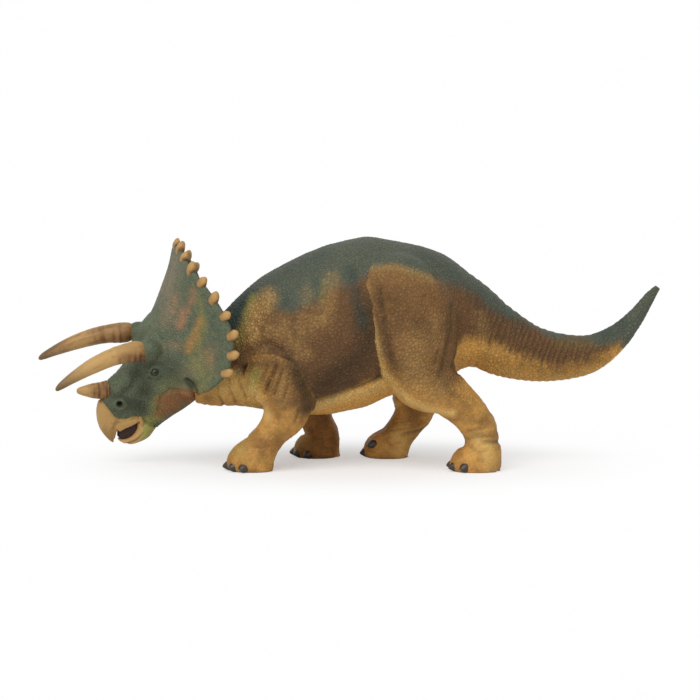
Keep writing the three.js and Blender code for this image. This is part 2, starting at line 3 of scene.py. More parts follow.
import bmesh
import bpy
import numpy as np
from mathutils.bvhtree import BVHTree
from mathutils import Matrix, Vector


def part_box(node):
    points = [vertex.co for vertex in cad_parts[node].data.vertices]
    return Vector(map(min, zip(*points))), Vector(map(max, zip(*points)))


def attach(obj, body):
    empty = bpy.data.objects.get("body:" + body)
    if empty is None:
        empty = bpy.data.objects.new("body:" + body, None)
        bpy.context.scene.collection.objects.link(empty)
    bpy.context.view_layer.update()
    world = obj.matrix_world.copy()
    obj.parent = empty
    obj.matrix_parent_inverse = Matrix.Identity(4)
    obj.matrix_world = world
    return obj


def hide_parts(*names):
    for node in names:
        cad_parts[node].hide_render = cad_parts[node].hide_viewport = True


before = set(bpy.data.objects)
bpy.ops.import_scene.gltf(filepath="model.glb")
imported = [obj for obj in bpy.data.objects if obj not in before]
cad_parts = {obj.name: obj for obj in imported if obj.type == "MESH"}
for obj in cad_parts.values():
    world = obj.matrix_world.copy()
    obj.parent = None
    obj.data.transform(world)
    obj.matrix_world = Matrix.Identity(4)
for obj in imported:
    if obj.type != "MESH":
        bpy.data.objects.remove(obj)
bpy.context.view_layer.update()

bl_info = {
    "name": "Toy Horned Dinosaur",
    "version": (1, 0, 0),
    "blender": (4, 5, 0),
    "location": "View3D > Sidebar > Dinosaur",
    "description": "Hide, horns, claws and airbrushed paint of a moulded toy dinosaur, over its packed parts",
    "category": "Object",
}

# All shaping is done in millimetres, in the frame that the figure was drawn in: the neck
# ends at the origin, +X runs to the tail, -Y is the animal's left and +Z is up.
MM = 1000.0
TRUNK_LENGTH = 87.3
BACK_HEIGHT = 71.9
BELLY_HEIGHT = 16.1
TRUNK_WIDTH = 48.0
TAIL_LENGTH = 59.5
TAIL_ROOT_HEIGHT = 30.0
TAIL_ROOT_WIDTH = 28.5
TAIL_DROOP = 12.0
TAIL_SWAY = 4.0
SKULL_LENGTH = 37.0
SKULL_HEIGHT = 24.0
SKULL_WIDTH = 22.5
BEAK_WIDTH = 11.5
LIP_WALL = 1.2
BOSS_RADIUS = 3.45
BOSS_LENGTH = 9.0
BOSS_SET_BACK = 3.3
JUGAL_LENGTH = 9.0
JUGAL_WIDTH = 5.6
HEAD_PLACE = np.array([2.5, 0.0, 32.41])
HEAD_PITCH = 42.0
HEAD_YAW = 12.5
HEAD_ROLL = 11.0
FRILL_HALF_WIDTH = 27.0
FRILL_RISE = 36.0
FRILL_SWEEP = 20.5
FRILL_ROOT_THICKNESS = 4.0
FRILL_RIM_THICKNESS = 2.0
FRILL_DISH = 1.0
KNOBS_PER_SIDE = 8
KNOB_SPAN = 0.77
BROW_HORN = {"length": 36.5, "radius": 3.3, "bend": -12.5, "raise": 40.0, "turn": 10.0, "spread": 9.3}
NOSE_HORN = {"length": 9.9, "radius": 3.2, "bend": 0.6, "raise": 40.0, "turn": 0.0, "spread": 0.0}
JAW_WIDTH = 10.2
JAW_WALL = 1.1
HIND_LEG = {"height": 62.0, "depth": 27.0, "width": 24.0, "stance": 15.0, "place": 0.8 * TRUNK_LENGTH}
FORE_LEG = {"height": 43.0, "depth": 21.4, "width": 18.0, "stance": 15.0, "place": 0.318 * TRUNK_LENGTH}
SIDES = {"left": -1.0, "right": 1.0}

# Spine: place along the trunk, height of the centre line, half depth and half width
TRUNK_ROWS = [
    (0, 0.217, 0.1, 0.22), (0.012, 0.222, 0.156, 0.38), (0.087, 0.285, 0.242, 0.54),
    (0.174, 0.358, 0.313, 0.69), (0.261, 0.405, 0.38, 0.83), (0.412, 0.453, 0.456, 0.96),
    (0.5, 0.48, 0.48, 1), (0.608, 0.517, 0.482, 1), (0.717, 0.545, 0.439, 0.97),
    (0.826, 0.546, 0.403, 0.9), (0.913, 0.548, 0.354, 0.78),
]
TAIL_ROOT_SHARE = 0.538
# Tail: place along it, hang below its root, depth and width
TAIL_ROWS = [
    (0, 0.012, 0.985, 1), (0.168, 0.55, 0.754, 0.66), (0.328, 0.907, 0.59, 0.5),
    (0.487, 1.02, 0.494, 0.386), (0.647, 0.935, 0.396, 0.297), (0.79, 0.51, 0.27, 0.228),
    (0.897, -0.06, 0.174, 0.166), (0.97, -0.58, 0.112, 0.11), (1.008, -0.8, 0.06, 0.07),
]
# Beak, skull, palate and jaw: place behind the beak's front, top, bottom and half width
BEAK_ROWS = [
    (-0.02, 0.11, 0.02, 0.06), (-0.012, 0.21, -0.035, 0.2), (0.018, 0.325, -0.01, 0.38),
    (0.075, 0.442, 0.06, 0.56), (0.15, 0.525, 0.05, 0.71), (0.243, 0.59, 0.03, 0.87),
    (0.338, 0.635, 0, 1), (0.42, 0.62, 0.03, 0.9),
]
SKULL_ROWS = [
    (0.19, 0.51, -0.25, 0.2), (0.227, 0.583, -0.288, 0.41), (0.31, 0.65, -0.285, 0.53),
    (0.405, 0.648, -0.275, 0.64), (0.514, 0.675, -0.285, 0.755), (0.622, 0.77, -0.312, 0.853),
    (0.73, 0.865, -0.325, 0.95), (0.838, 0.925, -0.313, 1), (0.946, 0.955, -0.27, 0.98),
    (1.054, 0.925, -0.167, 0.89), (1.135, 0.833, 0, 0.65),
]
PALATE_ROWS = [
    (0.06, 0.12, -0.2, 0.12), (0.14, 0.2, -0.2, 0.42), (0.24, 0.2, -0.2, 0.62),
    (0.31, 0.14, -0.2, 0.62),
]
JAW_ROWS = [
    (0.033, -0.033, -0.1, 0.12), (0.054, -0.07, -0.167, 0.34), (0.095, -0.1, -0.225, 0.55),
    (0.157, -0.1, -0.265, 0.74), (0.216, -0.067, -0.29, 0.9), (0.27, 0.017, -0.294, 0.97),
    (0.34, 0.05, -0.27, 0.9),
]
# Lip under each side of the beak: place, middle height and half width
LIP_ROWS = [
    (0.1, 0.13, 0.6), (0.15, 0.125, 0.71), (0.2, 0.105, 0.8), (0.25, 0.09, 0.87), (0.3, 0.09, 0.94),
    (0.335, 0.1, 0.98),
]
JAW_HOLLOW_ROWS = [
    (0.09, 0.1, -0.14, 0.14), (0.14, 0.1, -0.2, 0.5), (0.2, 0.1, -0.21, 0.68), (0.27, 0.1, -0.16, 0.7),
]
TONGUE_ROWS = [
    (0.05, 0.0, -0.11, 0.35), (0.09, 0.055, -0.161, 0.69), (0.14, 0.08, -0.22, 0.96),
    (0.21, 0.09, -0.235, 1.04), (0.3, 0.05, -0.2, 0.8),
]
TONGUE_WIDTH = 5.0
MOUTH_CORNER = (0.311, 0.058)
JAW_SEAM_FOOT = (0.243, -0.24)
EYE_PLACE = (0.675, 0.86, 0.47)
NOSTRIL_PLACE = (0.258, 0.47, 0.38)
BROW_HORN_PLACE = (0.705, 0.83)
NOSE_HORN_PLACE = (0.26, 0.548)
JUGAL_PLACE = (0.78, 0.9, 0.02)
# Rim of the frill from its peak to its lower lobe: back, out and up
FRILL_RIM = [
    (0.955, 0, 0.92), (0.925, 0.24, 0.9), (0.91, 0.44, 0.853), (0.912, 0.63, 0.766),
    (0.895, 0.78, 0.628), (0.85, 0.912, 0.455), (0.745, 0.99, 0.29), (0.54, 1.005, 0.145),
    (0.25, 0.945, 0.03), (-0.08, 0.8, -0.03), (-0.32, 0.63, -0.04),
]
# Legs: shift behind the joint, height, place out from the middle, depth and width
THIGH_ROWS = [(-0.09, 1.06, 0.5, 0.4, 0.3), (-0.09, 1.0, 0.8, 0.8, 0.62), (-0.09, 0.92, 0.93, 1.08, 0.86)]
LEG_ROWS = {
    "left_hind_leg": THIGH_ROWS + [
        (-0.04, 0.781, 0.97, 1.2, 0.96), (0.005, 0.616, 1, 1.0, 1), (0.066, 0.471, 1.03, 0.81, 0.86),
        (0.192, 0.375, 1.03, 0.5, 0.63), (0.294, 0.274, 1, 0.425, 0.5), (0.342, 0.179, 1, 0.39, 0.45),
        (0.348, 0.102, 1, 0.46, 0.5), (0.319, 0.012, 1, 0.63, 0.6), (0.324, -0.05, 1, 0.36, 0.4),
    ],
    "right_hind_leg": THIGH_ROWS + [
        (-0.05, 0.781, 0.97, 1.2, 0.96), (-0.024, 0.616, 1, 1.0, 1), (-0.016, 0.471, 1.03, 0.84, 0.86),
        (0.007, 0.335, 1.03, 0.5, 0.63), (0.003, 0.232, 1, 0.465, 0.5), (-0.032, 0.171, 1, 0.39, 0.45),
        (-0.077, 0.107, 1, 0.38, 0.5), (-0.13, 0.02, 1, 0.58, 0.6), (-0.132, -0.065, 1, 0.4, 0.42),
    ],
    "left_fore_leg": [
        (-0.088, 0.988, 0.83, 0.42, 0.35), (-0.058, 0.872, 0.9, 0.84, 0.76), (0, 0.702, 0.97, 1, 1),
        (0.058, 0.533, 1, 0.81, 0.89), (0.025, 0.391, 1, 0.64, 0.74), (-0.068, 0.262, 1, 0.468, 0.66),
        (-0.145, 0.16, 1, 0.53, 0.68), (-0.209, 0.04, 1, 0.735, 0.78), (-0.211, -0.09, 1, 0.3, 0.4),
    ],
    "right_fore_leg": [
        (-0.06, 0.988, 0.83, 0.42, 0.35), (-0.02, 0.872, 0.9, 0.84, 0.76), (0.05, 0.702, 0.97, 1, 1),
        (0.14, 0.523, 1, 0.81, 0.89), (0.223, 0.384, 1, 0.64, 0.74), (0.276, 0.251, 1, 0.47, 0.64),
        (0.31, 0.149, 1, 0.5, 0.67), (0.274, 0.032, 1, 0.73, 0.78), (0.279, -0.06, 1, 0.4, 0.46),
    ],
}
CLAW_TURNS = {"hind": (-44, -12, 22, 56), "fore": (-62, -30, 2, 36, 68)}
# Horn: run along its length, share of its bend, radius
HORN_ROWS = [
    (-0.055, 0, 0.3), (-0.04, 0, 0.66), (0, 0, 0.93), (0.05, 0.015, 0.99), (0.25, 0.097, 0.86),
    (0.5, 0.325, 0.75), (0.75, 0.63, 0.53), (0.93, 0.885, 0.33), (0.985, 0.975, 0.19), (1, 1, 0.05),
]
# Horns: sizes, place and side, then how far up it the red of its foot reaches,
# that red's cover on the horn's upper side, and the red wash over all of it
HORNS = {
    "left_brow_horn": (BROW_HORN, BROW_HORN_PLACE, -1.0, 0.25, 0.35, 0.1),
    "right_brow_horn": (BROW_HORN, BROW_HORN_PLACE, 1.0, 0.38, 0.8, 0.5),
    "nose_horn": (NOSE_HORN, NOSE_HORN_PLACE, 1.0, 0.6, 0.9, 0.3),
}
HORN_SIDES = 64

# Fullness: the power of a section's cosine and sine, 1 for an oval and less for a squarer one
TRUNK_FULLNESS = 0.92
LEG_FULLNESS = 0.9
BEAK_FULLNESS = 0.9
SKULL_FULLNESS = 0.88
LIP_FULLNESS = 0.7
KNOB_FULLNESS = 0.85
TONGUE_FULLNESS = 0.9
JAW_HOLLOW_FULLNESS = 1.0
# How much narrower a knob and a claw are at the tip, and how far a claw's tip hangs
KNOB_TAPER = 0.38
CLAW_TAPER = 0.45
CLAW_DROOP = 0.35
# Stations over which the tail's sections go from upright to leaning
LEAN_STATIONS = 3
# Lip: reach up, reach down and half width, and its share of the way out to the beak's side
LIP_REACHES = (1.8, 1.8, 0.5)
LIP_SPREAD = 0.78
LEAST_HALF_WIDTH = 0.15
# Jaw: the space cut around the beak in millimetres, and the grid spacing in metres
BEAK_CLEARANCE = 0.3
JAW_GRID = 0.0002
# Block that is cut from under the skull: how far it stands out in front and to each side
CUT_LENGTH = 6
CUT_HALF_WIDTH = 14.0
# Mouth's dark lining inside the beak: place and half width, then the edges of its front, rear and top
MOUTH_LINING = [(0.06, 0.12), (0.14, 0.42), (0.24, 0.66), (0.31, 0.7)]
MOUTH_FRONT = (0.07, 0.1)
MOUTH_REAR = (0.33, 0.36)
MOUTH_ROOF = (0.115, 0.15)
# Eyes: half sizes of the lids, how deep the eye sits, and the edges of the pupil and the iris
EYELID_HALF_SIZES = (2.6, 0.8, 2.6)
EYE_SET_IN = 0.03
PUPIL_EDGE = (0.5, 0.75)
IRIS_EDGE = (0.8, 1.05)
# Frill: share of its depth where its rim begins to round off, and its root's half turn,
# back, out, level and rise, as shares of the skull's sizes
RIM_ROUND_FROM = 0.93
RIM_ROUND_LENGTH = 0.07
FRILL_ROOT_TURN = 125
FRILL_ROOT_BACK = 0.14
FRILL_ROOT_OUT = 0.9
FRILL_ROOT_LEVEL = 0.42
FRILL_ROOT_RISE = 0.46
# Feet
TOE_SET_BACK = 2.4
TOE_RISE = 0.3
TOE_HALF_SIZES = (2.2, 3.2, 2.5)
LIFTED_CLAW_SET_BACK = 0.1
SOLE_EDGE_HEIGHT = 1.8
SOLE_PULL = 0.8
# Distances from the seams and from the horns' bosses between which the joins are smoothed
NODE_SEARCH = 7.0
JOINT_REACH = (0.8, 5.5)
BOSS_REACH = (4.5, 8.5)
BOSS_JOIN_BACK = 2.5
BOSS_JOIN_DOWN = 2.0
# Relief: heights in millimetres, and how much closer the legs' wrinkles lie in height than in width
TAIL_RING_HEIGHT = 0.08
THROAT_FOLD_HEIGHT = 0.09
WRINKLE_SQUASH = np.array([1.0, 1.0, 1.8])
# Scales of the head, as a share of the body's
FACE_SCALE_SHARE = 0.8
# Heights between which the shade inside the legs fades away
INNER_LEG_HEIGHTS = (26, 36)
SENSOR_WIDTH = 36
FLOOR_REACH = 8.0
FLOOR_FADE = (25, 105)
SUN_WIDTH = 50
SUN_TURN = (38, -18, 0)
BODY_NODES = ("torso", "tail", "left_hind_leg", "right_hind_leg", "left_fore_leg", "right_fore_leg")

# The photograph's 700 by 700 frame, which the folds and the paint are placed in
MM_PER_PIXEL = 0.3161
PHOTO_MIDDLE = 348.7
PHOTO_GROUND = 463.5
CAMERA_RISE = 7.5

torso_low, torso_high = (np.array(corner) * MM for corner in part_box("torso"))
MIDDLE_Y = (torso_low[1] + torso_high[1]) / 2
SHIFT = np.array([torso_high[0] - TRUNK_LENGTH, MIDDLE_Y, 0.0])


# Curves and forms

def unit(vectors):
    """Vectors made one long."""
    return vectors / np.linalg.norm(vectors, axis=-1, keepdims=True)


def spline(points, t):
    """A centripetal Catmull-Rom curve through rows of points, at places t from 0 to 1."""
    points = np.asarray(points, float)
    t = np.clip(np.atleast_1d(t), 0, 1)
    padded = np.vstack([2 * points[0] - points[1], points, 2 * points[-1] - points[-2]])
    spans = len(points) - 1
    first = np.minimum((t * spans).astype(int), spans - 1)
    w = (t * spans - first)[:, None]
    p0, p1, p2, p3 = (padded[first + k] for k in range(4))
    steps = ((p0, p1), (p1, p2), (p2, p3))
    d0, d1, d2 = (np.sum((b - a) ** 2, axis=1, keepdims=True) ** 0.25 for a, b in steps)
    d1 = np.where(d1 < 1e-4, 1.0, d1)
    d0 = np.where(d0 < 1e-4, d1, d0)
    d2 = np.where(d2 < 1e-4, d1, d2)
    leave = ((p1 - p0) / d0 - (p2 - p0) / (d0 + d1) + (p2 - p1) / d1) * d1
    arrive = ((p2 - p1) / d1 - (p3 - p1) / (d1 + d2) + (p3 - p2) / d2) * d1
    return (p1 + w * leave + w**2 * (3 * (p2 - p1) - 2 * leave - arrive)
            + w**3 * (2 * (p1 - p2) + leave + arrive))


def tangent(points, t):
    """Direction of that curve."""
    return unit(spline(points, np.minimum(t + 1e-4, 1)) - spline(points, np.maximum(t - 1e-4, 0)))


def sweep(stations, sides, steps, fullness=1.0, lean=1.0, grow=0.0):
    """Rings of points through stations of centre x, y, z, reach up, reach down and half width."""
    stations = np.asarray(stations, float)
    t = np.linspace(0, 1, steps + 1)
    centre = spline(stations[:, :3], t)
    size = spline(stations[:, 3:], t) + grow
    share = (lean(t) if callable(lean) else np.full(len(t), lean))[:, None]
    along = unit(tangent(stations[:, :3], t) * share + np.array([1.0, 0, 0]) * (1 - share))
    across = unit(np.array([0, 1.0, 0]) - along * along[:, 1:2])
    up = np.cross(along, across)
    centre[0] -= along[0] * grow
    centre[-1] += along[-1] * grow
    angle = 2 * math.pi * np.arange(sides) / sides
    sideways = np.sign(np.cos(angle)) * np.abs(np.cos(angle)) ** fullness
    upward = np.sign(np.sin(angle)) * np.abs(np.sin(angle)) ** fullness
    height = np.where(upward > 0, size[:, 0:1], size[:, 1:2])
    return (centre[:, None] + across[:, None] * (sideways * size[:, 2:3])[..., None]
            + up[:, None] * (upward * height)[..., None])


def skin(rings):
    """Rings joined into one closed form of points and faces, with a fan over each end."""
    rows, count = rings.shape[:2]
    points = np.vstack([rings.reshape(-1, 3), rings[0].mean(axis=0), rings[-1].mean(axis=0)])
    here = np.arange((rows - 1) * count).reshape(rows - 1, count)
    beside = np.roll(here, -1, axis=1)
    quads = np.stack([here, beside, beside + count, here + count], axis=-1).reshape(-1, 4)
    foot, top = rows * count, rows * count + 1
    last = (rows - 1) * count
    fans = []
    for j in range(count):
        k = (j + 1) % count
        fans.append((foot, k, j))
        fans.append((top, last + j, last + k))
    return points, quads.tolist() + fans


def lump(centre, half_sizes, outward, taper=0.0, detail=24):
    """A closed egg that points outward. Its outer half narrows by the taper."""
    lat = np.linspace(-math.pi / 2, math.pi / 2, detail + 1)[1:-1]
    lon = np.linspace(0, 2 * math.pi, 2 * detail, endpoint=False)
    rise = np.sin(lat)[:, None]
    wide = np.cos(lat)[:, None] * (1 - taper * np.maximum(rise, 0))
    ball = np.stack([wide * np.cos(lon), rise + 0 * lon, -wide * np.sin(lon)], axis=-1) * half_sizes
    y = unit(np.asarray(outward, float))
    x = unit(np.cross(y, (0, 0, 1.0)) if abs(y[2]) < 0.95 else np.cross(y, (1.0, 0, 0)))
    return skin(ball @ np.stack([x, y, np.cross(x, y)]) + centre)


def joined(forms):
    """Several forms as one."""
    points, faces, start = [], [], 0
    for form_points, form_faces in forms:
        points.append(form_points)
        faces += [[start + i for i in face] for face in form_faces]
        start += len(form_points)
    return np.vstack(points), faces


# Repeatable roughness

def lottery(cells, seed):
    """A number from 0 to 1 for each whole-number cell, the same on every run.

    The large primes only stir the bits of a cell's three numbers together.
    """
    x, y, z = (cells[..., axis] for axis in range(3))
    mixed = (x * 73856093) ^ (y * 19349663) ^ (z * 83492791) ^ (seed * 7919)
    mixed = (mixed & 0xFFFFFFFF) * 2246822519 & 0xFFFFFFFF
    mixed = (mixed ^ (mixed >> 15)) * 3266489917 & 0xFFFFFFFF
    return ((mixed ^ (mixed >> 13)) & 0xFFFFFF) / 0xFFFFFF


def ripple(points, pitch, seed):
    """Smooth noise from -1 to 1 with lumps about one pitch across."""
    scaled = points / pitch
    cell = np.floor(scaled).astype(np.int64)
    part = scaled - cell
    part = part * part * (3 - 2 * part)
    total = np.zeros(len(points))
    for corner in np.ndindex(2, 2, 2):
        weight = np.prod(np.where(corner, part, 1 - part), axis=1)
        total += weight * lottery(cell + np.array(corner), seed)
    return 2 * total - 1


def pebbles(points, pitch, seed):
    """Height from 0 in the cracks to 1 on the crowns of close-packed scales one pitch across."""
    scaled = points / pitch
    cell = np.floor(scaled).astype(np.int64)
    nearest = np.full(len(points), 9.0)
    second = np.full(len(points), 9.0)
    for step in np.ndindex(3, 3, 3):
        home = cell + np.array(step) - 1
        seedling = home + np.stack([lottery(home, seed + k) for k in range(3)], axis=-1)
        gap = np.linalg.norm(scaled - seedling, axis=1)
        second = np.where(gap < nearest, nearest, np.minimum(second, gap))
        nearest = np.minimum(nearest, gap)
    return np.clip((second - nearest) / 0.42, 0, 1) ** 0.7


def smooth_step(low, high, value):
    """0 below low, 1 above high, and a soft rise between."""
    t = np.clip((value - low) / (high - low), 0, 1)
    return t * t * (3 - 2 * t)


def bell(value, width, middle=0.0, power=2):
    """1 at the middle and falling to 0 on both sides. A higher power has a flatter top."""
    return np.exp(-((value - middle) / width) ** power)


# The fused hide

def remeshed(form, voxel):
    """A form made of overlapping closed forms as one even skin of points and square faces."""
    mesh = bpy.data.meshes.new("rough hide")
    mesh.from_pydata(form[0].tolist(), [], form[1])
    rough = bpy.data.objects.new("rough hide", mesh)
    bpy.context.collection.objects.link(rough)
    modifier = rough.modifiers.new("Even skin", "REMESH")
    modifier.mode = "VOXEL"
    modifier.voxel_size = voxel
    bpy.context.view_layer.update()
    done = rough.evaluated_get(bpy.context.evaluated_depsgraph_get()).to_mesh()
    points = np.empty(len(done.vertices) * 3, np.float32)
    done.vertices.foreach_get("co", points)
    corners = np.empty(len(done.loops), np.int32)
    done.loops.foreach_get("vertex_index", corners)
    if len(corners) != 4 * len(done.polygons):
        raise RuntimeError("the even skin isn't all square faces")
    bpy.data.objects.remove(rough)
    bpy.data.meshes.remove(mesh)
    return points.reshape(-1, 3).astype(float), corners.reshape(-1, 4).astype(np.int64)


def carved(form, cutter):
    """One closed form with another cut from it."""
    pair = []
    for name, (points, faces) in (("form", form), ("cutter", cutter)):
        mesh = bpy.data.meshes.new(name)
        mesh.from_pydata(points.tolist(), [], faces)
        ready = bmesh.new()
        ready.from_mesh(mesh)
        bmesh.ops.recalc_face_normals(ready, faces=ready.faces)
        ready.to_mesh(mesh)
        ready.free()
        made = bpy.data.objects.new(name, mesh)
        bpy.context.collection.objects.link(made)
        pair.append(made)
    modifier = pair[0].modifiers.new("Carve", "BOOLEAN")
    modifier.operation = "DIFFERENCE"
    modifier.solver = "EXACT"
    modifier.object = pair[1]
    bpy.context.view_layer.update()
    done = pair[0].evaluated_get(bpy.context.evaluated_depsgraph_get()).to_mesh()
    points = np.array([tuple(v.co) for v in done.vertices])
    faces = [list(p.vertices) for p in done.polygons]
    for made in pair:
        mesh = made.data
        bpy.data.objects.remove(made)
        bpy.data.meshes.remove(mesh)
    if not faces:
        raise RuntimeError("nothing was left of a carved form")
    return points, faces


def edges_of(quads):
    """Each edge of the square faces once."""
    pairs = np.vstack([quads[:, [k, (k + 1) % 4]] for k in range(4)])
    return np.unique(np.sort(pairs, axis=1), axis=0)


def spread(values, edges, rounds, weight=0.5):
    """Values on points, each drawn towards the mean of its neighbours."""
    values = values.copy()
    flat = values.reshape(len(values), -1)
    count = np.maximum(np.bincount(edges.ravel(), minlength=len(values)), 1)
    weight = np.broadcast_to(np.asarray(weight, float), (len(values),))
    for _ in range(rounds):
        for column in range(flat.shape[1]):
            old = flat[:, column]
            total = np.bincount(edges[:, 0], old[edges[:, 1]], len(values))
            total += np.bincount(edges[:, 1], old[edges[:, 0]], len(values))
            flat[:, column] = old + weight * (total / count - old)
    return values


def relaxed(points, edges, rounds):
    """Points with the remesh's steps ironed out and the form's size kept."""
    for _ in range(rounds):
        points = spread(points, edges, 1, 0.5)
        points = spread(points, edges, 1, -0.52)
    return points


def even_skin(form, voxel, rounds):
    """Overlapping closed forms as one smooth skin, with its square faces and its edges."""
    points, quads = remeshed(form, voxel)
    edges = edges_of(quads)
    return relaxed(points, edges, rounds), quads, edges


def normals_of(points, quads):
    """Outward directions at the points."""
    a, b, c, d = (points[quads[:, k]] for k in range(4))
    face = np.cross(c - a, d - b)
    total = np.stack([
        sum(np.bincount(quads[:, k], face[:, axis], len(points)) for k in range(4)) for axis in range(3)
    ], axis=-1)
    return total / np.maximum(np.linalg.norm(total, axis=1, keepdims=True), 1e-12)


def node_distances(points, names, reach):
    """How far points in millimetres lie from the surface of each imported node, up to the reach."""
    world = (points + SHIFT) / MM
    table = np.full((len(points), len(names)), float(reach))
    for column, name in enumerate(names):
        low, high = (np.array(corner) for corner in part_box(name))
        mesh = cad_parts[name].data
        corners = [tuple(v.co) for v in mesh.vertices]
        tree = BVHTree.FromPolygons(corners, [tuple(p.vertices) for p in mesh.polygons])
        near = np.all((world > low - reach / MM) & (world < high + reach / MM), axis=1)
        for i in np.nonzero(near)[0]:
            distance = tree.find_nearest(world[i], reach / MM)[3]
            if distance is not None:
                table[i, column] = distance * MM
    return table


def new_object(name, points, faces, material, slot, nodes, masks=None, normals=None):
    """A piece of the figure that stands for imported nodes. Its points are in millimetres."""
    mesh = bpy.data.meshes.new(name)
    mesh.from_pydata(((points + SHIFT) / MM).tolist(), [], faces)
    mesh.validate(verbose=False)
    mesh.shade_smooth()
    for mask, values in (masks or {}).items():
        layer = mesh.attributes.new(mask, "FLOAT", "POINT")
        layer.data.foreach_set("value", np.asarray(values, np.float32))
    if normals is not None:
        mesh.normals_split_custom_set_from_vertices(normals.tolist())
    piece = bpy.data.objects.new(name, mesh)
    bpy.context.collection.objects.link(piece)
    piece.data.materials.append(material)
    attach(piece, "root")
    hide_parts(*nodes)
    return piece


def closed_part(points, quads, keep):
    """The kept faces as a part of their own, with each open rim closed by a fan inside the figure."""
    chosen = quads[keep]
    used, renumbered = np.unique(chosen, return_inverse=True)
    chosen = renumbered.reshape(-1, 4)
    pairs = np.vstack([chosen[:, [k, (k + 1) % 4]] for k in range(4)])
    size = len(used)
    code = pairs[:, 0] * size + pairs[:, 1]
    open_pairs = pairs[~np.isin(code, pairs[:, 1] * size + pairs[:, 0])]
    following = {}
    for a, b in open_pairs.tolist():
        following.setdefault(a, []).append(b)
    extra, fans = [], []
    while following:
        start = next(iter(following))
        loop = [start]
        while True:
            options = following[loop[-1]]
            step = options.pop()
            if not options:
                del following[loop[-1]]
            if step == start or step not in following:
                break
            loop.append(step)
        middle = size + len(extra)
        extra.append(points[used[loop]].mean(axis=0))
        fans += [(loop[(k + 1) % len(loop)], loop[k], middle) for k in range(len(loop))]
    whole = np.vstack([points[used]] + extra) if extra else points[used]
    return used, whole, chosen.tolist() + fans


# Places in the photograph

def photo_place(world):
    """Where points lie in the photograph, with the animal's right side folded on to its left."""
    rise = math.radians(CAMERA_RISE)
    y = -np.abs(world[:, 1] - MIDDLE_Y)
    u = world[:, 0] / MM_PER_PIXEL + PHOTO_MIDDLE
    v = PHOTO_GROUND - (world[:, 2] * math.cos(rise) + y * math.sin(rise)) / MM_PER_PIXEL
    return np.stack([u, v], axis=-1)


def line_distance(place, line):
    """Distance in pixels from each place to a broken line."""
    line = np.asarray(line, float)
    best = np.full(len(place), 1e9)
    for a, b in zip(line[:-1], line[1:]):
        run = b - a
        t = np.clip((place - a) @ run / (run @ run), 0, 1)
        best = np.minimum(best, np.hypot(*(place - a - t[:, None] * run).T))
    return best


def brushed(place, strokes):
    """Cover of airbrush strokes, each of a radius, a softness, a strength and a line in pixels."""
    cover = np.zeros(len(place))
    for radius, softness, strength, line in strokes:
        edge = smooth_step(-softness, softness, radius - line_distance(place, line))
        cover = np.maximum(cover, strength * edge)
    return cover


def above(place, edge, softness, waver):
    """Cover above an edge drawn from left to right, in pixels."""
    edge = np.asarray(edge, float)
    line = np.interp(place[:, 0], edge[:, 0], edge[:, 1]) + waver
    return smooth_step(-softness, softness, line - place[:, 1])


def folds(place, creases):
    """Height of grooves and ridges, each of a height in millimetres, a width and a line in pixels."""
    height = np.zeros(len(place))
    for rise, width, line in creases:
        height += rise * bell(line_distance(place, line), width)
    return height


# Creases of the moulding: height in millimetres, width in pixels, line in pixels
TRUNK_FOLDS = [
    (-0.8, 2.2, [(243, 368), (256, 363), (272, 360), (286, 363), (295, 370)]),
    (0.35, 2.6, [(240, 362), (256, 357), (272, 354), (288, 358)]),
    (-0.45, 3.2, [(241, 356), (254, 348), (270, 343), (282, 350)]),
    (-0.9, 3.0, [(288, 362), (296, 374), (303, 386), (308, 399), (310, 407)]),
    (-0.6, 2.0, [(308, 404), (335, 396), (364, 385), (383, 376)]),
    (0.45, 2.5, [(312, 409), (335, 401), (364, 390), (385, 381)]),
    (-0.35, 4.0, [(359, 290), (362.5, 310), (370, 334), (376, 366), (380, 378)]),
    (-0.6, 1.6, [(236, 370), (240, 383), (246, 397)]),
    (-0.5, 1.5, [(228.6, 373.5), (230, 389.5), (236.5, 402)]),
    (-0.5, 1.4, [(216, 383), (219, 396), (224, 405)]),
    (0.3, 5.0, [(250, 300), (247, 325), (252, 345)]),
    (-0.25, 6.0, [(290, 300), (296, 330), (292, 352)]),
    (0.25, 8.0, [(320, 300), (316, 340), (322, 378)]),
    (-0.2, 6.0, [(340, 300), (342, 340), (350, 372)]),
]
HIND_LEG_FOLDS = [
    (0.25, 3.2, [(366, 275), (368, 310), (375, 334), (381, 358), (385, 376)]),
    (-0.5, 4.5, [(379, 290), (383, 320), (388, 350), (392, 370)]),
    (-0.5, 2.4, [(451.6, 306.6), (450, 333.7), (443.7, 357.6), (438.9, 376.7)]),
    (-0.35, 2.2, [(458, 313), (457, 341.6), (451.6, 367), (458, 373.5)]),
    (-0.3, 2.2, [(442, 325.7), (438.9, 344.8), (434, 364)]),
    (0.45, 2.4, [(384.7, 373.5), (395.8, 383), (407, 399), (429, 407), (451.6, 413.4)]),
    (-0.4, 1.4, [(467.6, 439), (477, 437), (493, 435.7)]),
    (-0.6, 2.6, [(484, 442), (500, 441)]),
    (0.5, 5.0, [(491, 418), (494, 424)]),
    (-0.3, 1.2, [(466, 432), (476, 429), (490, 428)]),
    (-0.3, 2.0, [(470, 446), (478, 452), (486, 450)]),
    (-0.35, 2.0, [(452, 395), (464, 404), (474, 408)]),
    (0.3, 4.0, [(470, 405), (482, 420), (488, 432)]),
]
